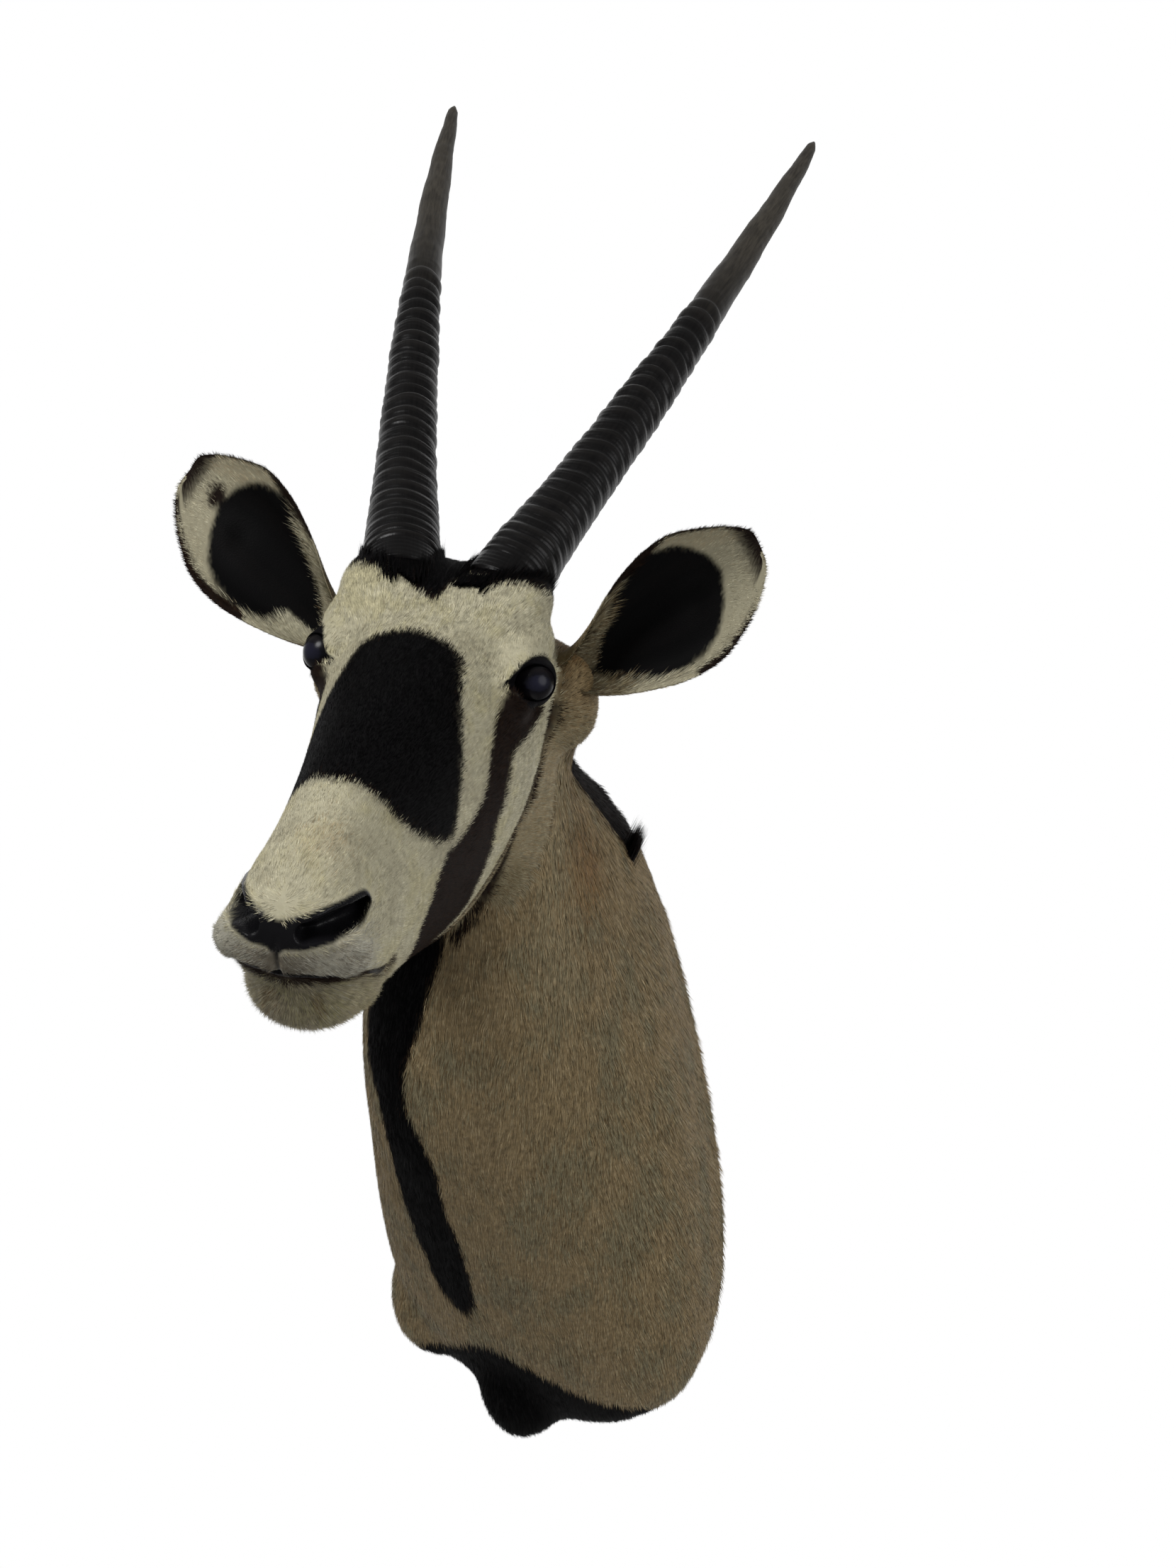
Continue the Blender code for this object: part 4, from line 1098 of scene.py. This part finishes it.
def ear_shades(side, share, across, rng, inner):
    """Shade of the hair on either face of an ear."""
    count = len(share)
    chance = rng.random(count)
    upper = np.interp(share, (0.18, 0.22, 0.26, 0.32, 0.42, 0.52, 0.59, 0.70, 0.76, 0.80, 0.83),
                      (-0.20, 0.10, 0.24, 0.40, 0.64, 0.80, 0.88, 0.76, 0.60, 0.38, -0.1))
    lower = np.interp(share, (0.18, 0.22, 0.26, 0.30, 0.35, 0.42, 0.53, 0.63, 0.72, 0.78, 0.83),
                      (-0.30, -0.52, -0.58, -0.60, -0.80, -0.87, -0.86, -0.81, -0.66, -0.42, 0.1))
    if side > 0:
        upper = upper + 0.16 * bell(share - 0.42, 0.14)
    wander = rng.normal(0, 0.030, count)
    opening = inner & (across + wander < upper) & (across + wander > lower)
    # lighter streaks along the inside of the cup: painted highlights, as on ridges catching the
    # light
    ridge_highlight = np.cos(across * 9.0 + 1.5 + 2.0 * share) > 0.45
    warm = inner & (np.abs(across - 0.75) < 0.25) & (share > 0.62) & (chance > 0.70)
    # brown on the root of the left ear, cream with some brown on the right one
    root = ease((0.44 - share + 0.10 * across) / 0.10) * (0.85 if side > 0 else 0.30)
    inside_hair = layered(mixed(chance, "cream_light", 0.35, "cream", 0.75, "cream_deep"),
                          (warm, "tan_light"),
                          (inner & (rng.random(count) < root),
                           mixed(chance, "tan_deep", 0.34, "brown", 0.62, "tan_grey")))
    outside_hair = layered(mixed(chance, "cream", 0.45, "cream_deep", 0.85, "tan_light"),
                           ((share < 0.30) & (rng.random(count) < 0.8),
                            mixed(chance, "tan", 0.5, "tan_deep")))
    hem_start, hem_end, hem_edge = (0.58, 0.88, -0.90) if side > 0 else (0.44, 0.97, -0.86)
    hem = (across < hem_edge - 0.45 * wander) & (share > hem_start) & (share < hem_end)
    top_width = np.interp(share, (0.40, 0.50, 0.62, 0.70, 0.95), (0.05, 0.16, 0.13, 0.05, 0.07))
    hem |= (across > 1 - top_width - wander) & (share > 0.40)
    tip = (share > 0.930 + wander * 0.7) & (across > -0.70)
    spot = np.hypot((share - 0.845) / 0.028, (across - 0.10) / 0.26) < 1 + 4 * wander
    tip |= inner & (side < 0) & spot
    white_foot = inner & (side < 0) & (share < 0.34) & (across < -0.35) & (chance < 0.80)
    return layered(outside_hair,
                   (inner, inside_hair),
                   (opening, "black_worn"),
                   (opening & (chance < np.where(ridge_highlight, 0.45, 0.92)), "black"),
                   (hem | tip, mixed(chance, "brown", 0.5, "brown_deep")),
                   (white_foot, "cream_light"))


ear_shells = {}
for side, word in both_sides:
    share_grid, across_grid = np.meshgrid(np.linspace(-0.10, 1.0, ear_rows),
                                          np.linspace(-1, 1, ear_columns), indexing='ij')
    middle = ear_points(side, share_grid, across_grid)
    along = np.gradient(middle, axis=0)
    over = np.gradient(middle, axis=1)
    normal = unit(np.cross(along, over))
    if normal[ear_rows // 2, ear_columns // 2] @ ear_axes(side)[1] < 0:
        normal = -normal
    thick = ear_thickness / 2 * (0.35 + 0.65 * ease((1 - np.abs(across_grid)) / 0.15))
    sheets = [middle + normal * thick[..., None], middle - normal * thick[..., None]]
    count = ear_rows * ear_columns
    index = np.arange(count).reshape(ear_rows, ear_columns)
    quads = np.stack((index[:-1, :-1], index[:-1, 1:], index[1:, 1:], index[1:, :-1]), axis=-1)
    quads = quads.reshape(-1, 4)
    border = np.concatenate((index[0], index[1:, -1], index[-1, -2::-1], index[-2:0:-1, 0]))
    after = np.roll(border, -1)
    hem = np.column_stack((border, after, after + count, border + count))
    faces = np.vstack((quads, quads[:, ::-1] + count, hem))
    ear = mesh_piece(f"ear_{word}", np.stack(sheets), faces.tolist())
    rng = np.random.default_rng(11)

    def near_shades(inner):
        near_share = share_grid.ravel() + rng.normal(0, 0.006, count)
        near_across = across_grid.ravel() + rng.normal(0, 0.022, count)
        return ear_shades(side, near_share, near_across, rng, np.full(count, inner))

    # the ear's skin is painted darker than its hair: painted shade between the hairs
    colours = [mean_colours(lambda: near_shades(inner), draws=24, shade_between_hairs=0.7)
               for inner in (True, False)]
    paint_coat(ear.data, np.vstack(colours))
    # the thin-haired skin in the middle of the cup shines a little
    glossy = 0.8 * bell(share_grid - 0.70, 0.08) * bell(across_grid + 0.15, 0.35)
    add_values(ear.data, "wet", 'FLOAT', np.stack((glossy, np.zeros_like(glossy))))
    ear.data.materials.append(hide_skin)
    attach(ear, "root")
    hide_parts("cape")
    ear_shells[side] = (share_grid, across_grid, middle, normal)


# ================================================================ hair
# The short coat, brushed the way it grows: up the face from the nose, back over the cheeks
# and down the neck. Every hair is a flat blade, thick at the root, with a pointed end.
hair_share = 1.0       # share of the full coat that is grown


def hair_material(name, colour):
    """One shade of hair, uneven from place to place. Dark hair is duller."""
    specular = 0.12 if max(colour) > 0.03 else 0.02
    material, tree, shader = new_material(f"hair_{name}", roughness=0.55, specular=specular)
    uneven = new_node(tree, "TexNoise", {"Vector": own_space(tree), "Scale": 240.0})
    tint = new_ramp(tree, uneven.outputs["Fac"],
                    (0.32, [channel * 0.72 for channel in colour]),
                    (0.68, [channel * 1.28 for channel in colour]))
    set_inputs(tree, shader, {"Base Color": tint})
    return material


hair_materials = [hair_material(name, shades[name]) for name in shade_names]


def across_surface(direction, normals):
    """The part of a direction that lies along the surface, one long."""
    return unit(direction - normals * np.sum(direction * normals, axis=1)[:, None])


def grow(name, roots, normals, flow, length, lift, shade, width, rng, bends=False):
    """A piece of coat: one blade a root, or two joined ones where long hair bends over."""
    count = len(roots)
    lift = lift * rng.uniform(0.6, 1.4, count)
    length = length * rng.uniform(0.70, 1.10, count)
    rise = flow * np.cos(lift)[:, None] + normals * np.sin(lift)[:, None]
    roll = rng.normal(0, 0.35, count)
    side = unit(np.cross(rise, normals))
    side = side * np.cos(roll)[:, None] + np.cross(rise, side) * np.sin(roll)[:, None]
    half = side * (width * rng.uniform(0.7, 1.2, count) / 2)[:, None]
    start = roots - normals * 0.0004
    if bends:
        middle = start + rise * (length * 0.55)[:, None]
        fall = flow * np.cos(lift * 0.35)[:, None] + normals * np.sin(lift * 0.35)[:, None]
        tip = middle + fall * (length * 0.45)[:, None]
        corners = np.stack((start - half, start + half, middle - half * 0.7, middle + half * 0.7,
                            tip), axis=1)
        pattern = np.array((0, 1, 3, 0, 3, 2, 2, 3, 4))
    else:
        tip = start + rise * length[:, None]
        corners = np.stack((start - half, start + half, tip), axis=1)
        pattern = np.array((0, 1, 2))
    per_hair = corners.shape[1]
    loops = (np.arange(count)[:, None] * per_hair + pattern).ravel()
    triangles = len(loops) // 3
    mesh = bpy.data.meshes.new(name)
    mesh.vertices.add(count * per_hair)
    mesh.vertices.foreach_set("co", corners.ravel())
    mesh.loops.add(len(loops))
    mesh.loops.foreach_set("vertex_index", loops)
    mesh.polygons.add(triangles)
    mesh.polygons.foreach_set("loop_start", np.arange(triangles) * 3)
    used = sorted(set(shade.tolist()))
    for index in used:
        mesh.materials.append(hair_materials[index])
    slot = np.searchsorted(used, shade)
    mesh.polygons.foreach_set("material_index", np.repeat(slot, len(pattern) // 3))
    mesh.update()
    mesh.shade_smooth()
    soft = normals + rise * 0.25 + side * rng.normal(0, 0.22, count)[:, None]
    mesh.normals_split_custom_set_from_vertices(unit(np.repeat(soft, per_hair, axis=0)))
    piece = bpy.data.objects.new(name, mesh)
    bpy.context.scene.collection.objects.link(piece)
    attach(piece, "root")
    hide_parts("cape")


mesh = hide.data
mesh.calc_loop_triangles()
corners = np.empty(len(mesh.loop_triangles) * 3, dtype=np.int32)
mesh.loop_triangles.foreach_get("vertices", corners)
corners = corners.reshape(-1, 3)
skin_points = read_points(mesh)
skin_normals = read_normals(mesh)
edges_1 = skin_points[corners[:, 1]] - skin_points[corners[:, 0]]
edges_2 = skin_points[corners[:, 2]] - skin_points[corners[:, 0]]
areas = np.linalg.norm(np.cross(edges_1, edges_2), axis=1) / 2
centres = skin_points[corners].mean(axis=1)
centre_heads = to_head(centres)
bare_share = bare[corners].mean(axis=1)
on_head_share = head_share(centre_heads)
wet_share = read_values(mesh, "wet")[corners].mean(axis=1)
haired = 1 - wet_share - 0.45 * np.clip(bare_share - wet_share, 0, 1)


def seed_roots(weights, count, rng):
    """Random roots on the skin, more where the weights are higher."""
    chance = areas * weights
    chosen = rng.choice(len(areas), count, p=chance / chance.sum())
    first, second = rng.random((2, count))
    over = first + second > 1
    first[over], second[over] = 1 - first[over], 1 - second[over]
    shares = np.stack((1 - first - second, first, second), axis=1)
    roots = np.einsum('ij,ijk->ik', shares, skin_points[corners[chosen]])
    normals = np.einsum('ij,ijk->ik', shares, skin_normals[corners[chosen]])
    return roots, unit(normals)


def coat_flow(roots, normals, rng):
    """The way the hair lies: up the face, back along the cheeks, down the neck."""
    heads = to_head(roots)
    left, up = heads[:, 0], heads[:, 1]
    on_head = head_share(heads)[:, None]
    angle = around_head(heads)
    backward = ease((angle - 50) / 60)[:, None]
    face_flow = head_axes[1] * (1 - 0.15 * backward) - head_axes[2] * (0.45 * backward)
    lip = ease((-up - 0.235) / 0.02)[:, None]
    sideways = np.sign(left)[:, None] * head_axes[0]
    face_flow = face_flow * (1 - lip) + (sideways * 0.8 - head_axes[2] * 0.6) * lip
    poll = ease((up - 0.05) / 0.04)[:, None]
    face_flow = face_flow + sideways * 0.35 * poll
    spoke = mirrored(heads) - eye_centre
    near_eye = ease((0.034 - np.linalg.norm(spoke, axis=1)) / 0.012)[:, None]
    spoke[:, 0] *= np.sign(left)
    face_flow = face_flow + spoke @ head_axes * 60 * near_eye
    back = ease((roots[:, 1] + 0.33) / 0.25)
    neck_flow = np.column_stack((np.zeros(len(roots)), 0.18 + 0.55 * back, -np.ones(len(roots))))
    flow = face_flow * on_head + neck_flow * (1 - on_head)
    wander = np.column_stack([lattice(roots, 0.016, seed) for seed in (21, 22, 23)]) - 0.5
    wander += 0.7 * (np.column_stack([lattice(roots, 0.006, seed) for seed in (24, 25, 26)]) - 0.5)
    flow = flow + wander * 0.55 + rng.normal(0, 0.07, (len(roots), 3))
    return across_surface(flow, normals)


def coat_piece(name, weights, count, length, lift, width, seed):
    rng = np.random.default_rng(seed)
    roots, normals = seed_roots(weights, max(int(count * hair_share), 10), rng)
    flow = coat_flow(roots, normals, rng)
    lengths = length(to_head(roots)) if callable(length) else np.full(len(roots), length)
    grow(name, roots, normals, flow, lengths, lift, coat_shades(roots, rng), width, rng)


def face_length(heads):
    """5.6 mm on the muzzle, longer up the face, shorter on the brow and round the eyes."""
    up = heads[:, 1]
    length = 0.0056 + 0.0024 * ease((up + 0.12) / 0.18)
    length -= 0.0014 * ease((up - 0.03) / 0.02)
    off_eye = np.linalg.norm(mirrored(heads) - eye_centre, axis=1)
    return length * (0.45 + 0.55 * ease((off_eye - 0.020) / 0.020))


head_weights = on_head_share * haired
on_chin = (centre_heads[:, 1] < -0.195) & (centre_heads[:, 2] < lip_level(centre_heads))
coat_piece("hair_muzzle_and_face", head_weights * (centre_heads[:, 1] < 0.02) * ~on_chin,
           count=165000, length=face_length, lift=0.18, width=0.00045, seed=101)
coat_piece("hair_brow_and_cheeks", head_weights * (centre_heads[:, 1] >= 0.02),
           count=76000, length=face_length, lift=0.21, width=0.00052, seed=102)

# the chin's hair is longer and spreads downwards from the lower lip
rng = np.random.default_rng(105)
roots, normals = seed_roots(head_weights * on_chin, int(27000 * hair_share), rng)
heads = to_head(roots)
spread = heads - (0.0, -0.255, -0.054)
spread[:, 0] *= 1.4
spread[:, 1] *= 0.4
spread += rng.normal(0, 0.006, spread.shape)
flow = across_surface(spread @ head_axes, normals)
shade = coat_shades(roots, rng)
streak = lattice(np.column_stack((np.arctan2(heads[:, 0], -heads[:, 2]) * 0.05,
                                  heads[:, 1] * 0.15, heads[:, 2] * 0.15)), 0.004, 41)
dark_streak = (streak + rng.normal(0, 0.10, len(shade)) > 0.66) & (heads[:, 2] < -0.075)
shade = layered(shade, (dark_streak, "tan_deep"))
grow("hair_chin", roots, normals, flow, rng.uniform(0.006, 0.011, len(roots)), lift=0.24,
     shade=shade, width=0.00038, rng=rng)

neck_weights = (1 - on_head_share) * haired
forward = ease((-centres[:, 1] - 0.17) / 0.03)
coat_piece("hair_neck", neck_weights * forward,
           count=121000, length=0.0115, lift=0.17, width=0.00078, seed=103)
coat_piece("hair_shoulders", neck_weights * (1 - forward),
           count=104000, length=0.0130, lift=0.18, width=0.00095, seed=104)

# fine hair on both faces of the ears, with tufts along the edges of the opening
for side, word in both_sides:
    rng = np.random.default_rng(200 + side)
    share_grid, across_grid, middle, normal = ear_shells[side]
    steps = np.linalg.norm(np.cross(np.gradient(middle, axis=0), np.gradient(middle, axis=1)),
                           axis=2).ravel()
    count = int(42000 * hair_share)
    chosen = rng.choice(len(steps), count, p=steps / steps.sum())
    share = share_grid.ravel()[chosen] + rng.uniform(-0.5, 0.5, count) * 1.1 / (ear_rows - 1)
    across = across_grid.ravel()[chosen] + rng.uniform(-0.5, 0.5, count) * 2 / (ear_columns - 1)
    across = np.clip(across, -1, 1)
    inner = rng.random(count) < 0.5
    roots = ear_points(side, share, across)
    outward = normal.reshape(-1, 3)[chosen] * np.where(inner, 1, -1)[:, None]
    roots = roots + outward * ear_thickness * 0.3
    run, facing, edge = ear_axes(side)
    turn_out = np.interp(share, (0.30, 0.50, 0.65), (-0.9, -0.3, 0.9))
    flow = run * 1.0 + edge * (across * np.where(inner, turn_out, 0.45))[:, None]
    flow = across_surface(flow + rng.normal(0, 0.16, (count, 3)), outward)
    shade = ear_shades(side, share, across, rng, inner)
    black = (shade == shade_of["black"]) | (shade == shade_of["black_worn"])
    length = np.where(black, 0.0040, np.where(inner, 0.0075, 0.0050))
    tufted = inner & (share < 0.55) & (np.abs(across) > 0.45) & ~black
    length = np.where(tufted, rng.uniform(0.008, 0.016, count), length)
    length = np.where((share > 0.9) | (np.abs(across) > 0.93), 0.0036, length)
    grow(f"hair_ear_{word}", roots, outward, flow, length, lift=np.where(black, 0.12, 0.24),
         shade=shade, width=0.00048, rng=rng)


# black hair rises round the foot of each horn and hides the edge of the skin there
collar_reach = 0.0315
rng = np.random.default_rng(250)
feet = []
for side in (1, -1):
    run = horn_axis(np.array((0.0, 0.01)), side)
    run = unit(run[1] - run[0])
    front = across_surface(head_axes[2][None], run[None])[0]
    beside = np.cross(run, front)
    foot = to_world(horn_foot * (side, 1, 1))
    spoke = skin_points - foot
    height = spoke @ run
    off = np.linalg.norm(spoke - height[:, None] * run, axis=1)
    around = np.arctan2(spoke @ beside, spoke @ front)
    ring = (np.abs(off - collar_reach) < 0.0040) & (np.abs(height) < 0.045)
    order = np.argsort(around[ring])
    turn = rng.uniform(-np.pi, np.pi, int(7000 * hair_share))
    level = np.interp(turn, around[ring][order], height[ring][order], period=2 * np.pi)
    outward = front * np.cos(turn)[:, None] + beside * np.sin(turn)[:, None]
    reach = rng.uniform(0.0285, 0.0320, len(turn))
    level = level - 0.0015 + rng.normal(0, 0.0012, len(turn))
    roots = foot + run * level[:, None] + outward * reach[:, None]
    flow = run - outward * 0.10 + rng.normal(0, 0.09, (len(turn), 3))
    feet.append((roots, outward, unit(flow)))
roots, outward, flow = [np.vstack(rows) for rows in zip(*feet)]
chance = rng.random(len(roots))
shade = mixed(chance, "black", 0.75, "black_worn", 0.92, "brown_deep")
grow("hair_horn_feet", roots, outward, flow, rng.uniform(0.010, 0.017, len(roots)), lift=0.05,
     shade=shade, width=0.0006, rng=rng)


# ================================================================ mane
# A stiff crest of longer dark hair along the nape, from behind the ears to the withers,
# where the growth turns and a tuft stands up.
rng = np.random.default_rng(300)
along_nape = ease((centres[:, 1] + 0.36) / 0.02) * ease((-0.004 - centres[:, 1]) / 0.01)
band = along_nape * ease(0.5 - outside_mane(centres) / 0.006) * (centres[:, 2] > mane_foot)
roots, normals = seed_roots(band * (1 - 0.75 * on_head_share), int(19000 * hair_share), rng)
flow = np.column_stack((1.2 * (lattice(roots, 0.020, 32) - 0.5), 1.5 + lattice(roots, 0.016, 31),
                        np.full(len(roots), -0.55)))
flow = across_surface(flow + rng.normal(0, 0.16, (len(roots), 3)), normals)
crown = bell(roots[:, 0] - mane_line(roots[:, 1]), 0.016)
length = (0.0085 + 0.0070 * crown) * (0.7 + 0.6 * lattice(roots, 0.012, 33))
lift = 0.26 + 0.22 * crown
# where the growth turns, a tuft stands up
swirl = closeness(centres, (0.068, -0.150, 0.300), 0.0055)
tuft_roots, tuft_normals = seed_roots(swirl, int(1000 * hair_share), rng)
tuft_flow = unit((0.26, 0.10, 0.96) + rng.normal(0, 0.07, (len(tuft_roots), 3)))
roots, normals = np.vstack((roots, tuft_roots)), np.vstack((normals, tuft_normals))
flow = np.vstack((flow, tuft_flow))
length = np.concatenate((length, rng.uniform(0.020, 0.032, len(tuft_roots))))
lift = np.concatenate((lift, np.full(len(tuft_roots), 0.04)))
chance = rng.random(len(roots))
shade = mixed(chance, "brown_deep", 0.40, "black_worn", 0.88, "brown")
grow("mane", roots, normals, flow, length, lift, shade, width=0.0007, rng=rng, bends=True)


# ================================================================ back
# The form is cut off flat and closed with a plywood board. A zinc-plated keyhole plate is
# let into it and held by two countersunk screws; the edge of the hide is turned in and stapled.
plywood, tree, shader = new_material("plywood", roughness=0.75)
stretch = new_node(tree, "Mapping", {"Vector": own_space(tree), "Scale": (55.0, 1.0, 4.0)})
grain = new_node(tree, "TexNoise", {"Vector": stretch.outputs["Vector"], "Scale": 3.0,
                                    "Detail": 6.0, "Distortion": 0.6}).outputs["Fac"]
veneer = new_ramp(tree, grain, (0.30, (0.36, 0.23, 0.12)), (0.70, (0.62, 0.46, 0.28)))
set_inputs(tree, shader, {"Base Color": veneer, "Normal": new_bump(tree, grain, 0.3, 0.0005)})
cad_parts["backboard"].material_slots[0].material = plywood

zinc_steel, tree, shader = new_material("zinc_steel", roughness=0.38, metallic=1.0)
spangle = new_node(tree, "TexVoronoi", {"Vector": own_space(tree), "Scale": 260.0})
set_inputs(tree, shader, {"Base Color": new_ramp(tree, spangle.outputs["Distance"],
                                                 (0.0, (0.50, 0.50, 0.49)),
                                                 (1.0, (0.68, 0.68, 0.67)))})
for node in ("hanger_plate", "hanger_screw_left", "hanger_screw_right"):
    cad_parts[node].material_slots[0].material = zinc_steel

# the hide's edge, turned in over the back of the form up to the board
edge_points = read_points(hide.data)
edge_points = edge_points[edge_points[:, 1] > hide_back - 0.0001][:, (0, 2)]
edge_middle = edge_points.mean(axis=0)
spokes = edge_points - edge_middle
turns = np.arctan2(spokes[:, 1], spokes[:, 0])
order = np.argsort(turns)
rim_steps, pleat_steps = 240, 6
rim_turns = np.linspace(-np.pi, np.pi, rim_steps, endpoint=False)
reaches = np.interp(rim_turns, turns[order], np.linalg.norm(spokes, axis=1)[order],
                    period=2 * np.pi)
rim_edge = edge_middle + np.column_stack((np.cos(rim_turns), np.sin(rim_turns))) * reaches[:, None]
along_edge = np.roll(rim_edge, -2, axis=0) - np.roll(rim_edge, 2, axis=0)
inward = unit(np.column_stack((-along_edge[:, 1], along_edge[:, 0])))
rng = np.random.default_rng(400)
pleats = np.interp(np.arange(rim_steps), np.arange(0, rim_steps + 1, pleat_steps),
                   rng.uniform(0, 1, rim_steps // pleat_steps + 1))
bm = bmesh.new()
rings = []
for depth, y in ((0.0, -0.0020), (0.0006, -0.0012), (0.0020, -0.0008), (0.0070, -0.0010),
                 (0.0130, -0.0008), (0.0182, -0.0010), (0.0192, -0.0030)):
    place = rim_edge + inward * (depth * (1 - 0.06 * pleats))[:, None]
    raised = y - 0.0008 * pleats * math.sin(math.pi * min(depth / 0.019, 1))
    rings.append(np.column_stack((place[:, 0], raised, place[:, 1])))
add_loft(bm, rings, closed_ends=False)
rim = new_piece("hide_rim", bm)
rim.data.shade_smooth()
raw_hide, tree, shader = new_material("raw_hide", roughness=0.8)
grain = new_node(tree, "TexNoise", {"Vector": own_space(tree), "Scale": 70.0, "Detail": 6.0})
grain = grain.outputs["Fac"]
tanned = new_ramp(tree, grain, (0.32, (0.34, 0.25, 0.17)), (0.68, (0.58, 0.49, 0.37)))
set_inputs(tree, shader, {"Base Color": tanned, "Normal": new_bump(tree, grain, 0.5, 0.0006)})
rim.data.materials.append(raw_hide)
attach(rim, "root")
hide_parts("cape")

# wire staples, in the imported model's plain zinc, hold the edge down
staple_width, wire_radius, staple_leg = 0.010, 0.0004, 0.006
steps_to_next = 5
bm = bmesh.new()
for i in range(0, rim_steps, steps_to_next):
    centre = rim_edge[i] + inward[i] * rng.uniform(0.008, 0.012)
    turn = rng.normal(math.pi / 2, 0.5)
    lie = inward[i] * math.cos(turn) + np.array((-inward[i][1], inward[i][0])) * math.sin(turn)
    path = [(-0.5, -staple_leg), (-0.5, -0.0009), (-0.46, -wire_radius), (0.46, -wire_radius),
            (0.5, -0.0009), (0.5, -staple_leg)]
    wire = [np.array((centre[0] + lie[0] * share * staple_width, y,
                      centre[1] + lie[1] * share * staple_width)) for share, y in path]
    sideways = np.array((-lie[1], 0.0, lie[0]))
    rings = []
    for row, place in enumerate(wire):
        run = wire[min(row + 1, len(wire) - 1)] - wire[max(row - 1, 0)]
        other = np.cross(unit(run), sideways)
        rings.append([place + wire_radius * (sideways * math.cos(a) + other * math.sin(a))
                      for a in full_turn(8)])
    add_loft(bm, rings)
staples = new_piece("staples", bm)
staples.data.shade_smooth()
staples.data.materials.append(bpy.data.materials["zinc_steel"])
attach(staples, "root")


# ================================================================ stage
# A pale floor below the mount, a white backdrop behind it, a darker room on the camera's
# side, two soft lamps and the photograph's viewpoint.
floor_level = -1.30
bm = bmesh.new()
bmesh.ops.create_circle(bm, cap_ends=True, segments=96, radius=1.0,
                        matrix=Matrix.Translation((0.0, -0.30, floor_level)))
floor = new_piece("floor", bm)
pale_floor, tree, shader = new_material("pale_floor", roughness=0.9)
set_inputs(tree, shader, {"Base Color": (0.85, 0.85, 0.84, 1)})
floor.data.materials.append(pale_floor)

view_right = Vector((0.83280, 0.53107, 0.15622))
view_up = Vector((-0.10304, -0.12855, 0.98633))
view_back = Vector((0.54389, -0.83752, -0.05234))
camera_place = Vector((0.64955, -1.14018, 0.29828))
focal_pixels, image_height, sensor_height = 1725, 2212, 36.0
camera_data = bpy.data.cameras.new("camera")
camera_data.sensor_fit = 'VERTICAL'
camera_data.sensor_height = sensor_height
camera_data.lens = sensor_height * focal_pixels / image_height
camera = bpy.data.objects.new("camera", camera_data)
camera.matrix_world = (Matrix.Translation(camera_place)
                       @ Matrix((view_right, view_up, view_back)).transposed().to_4x4())
bpy.context.scene.collection.objects.link(camera)
bpy.context.scene.camera = camera

world = bpy.data.worlds.new("studio")
bpy.context.scene.world = world
world.use_nodes = True
tree = world.node_tree
directions = new_node(tree, "TexCoord").outputs["Generated"]
away = new_node(tree, "VectorMath", {0: directions, 1: -view_back}, operation='DOT_PRODUCT')
brightness = new_node(tree, "MapRange", {"Value": away.outputs["Value"], "From Min": 0.35,
                                         "From Max": 0.75, "To Min": 0.30, "To Max": 1.0},
                      interpolation_type='SMOOTHSTEP')
set_inputs(tree, tree.nodes["Background"], {"Strength": brightness.outputs["Result"],
                                            "Color": (1.0, 1.0, 1.0, 1)})
bpy.context.scene.view_settings.view_transform = 'Standard'

head_middle = Vector((0.10, -0.50, 0.30))
for name, offset, power, size in (("key", (-1.0, 1.2, 0.4), 33.0, 0.8),
                                  ("fill", (1.7, 0.3, 0.2), 22.0, 1.6)):
    light_data = bpy.data.lights.new(name, 'AREA')
    light_data.shape = 'DISK'
    light_data.size = size
    light_data.energy = power
    light = bpy.data.objects.new(name, light_data)
    light.location = (camera_place + view_right * offset[0] + view_up * offset[1]
                      + view_back * offset[2])
    light.rotation_euler = (light.location - head_middle).to_track_quat('Z', 'Y').to_euler()
    bpy.context.scene.collection.objects.link(light)
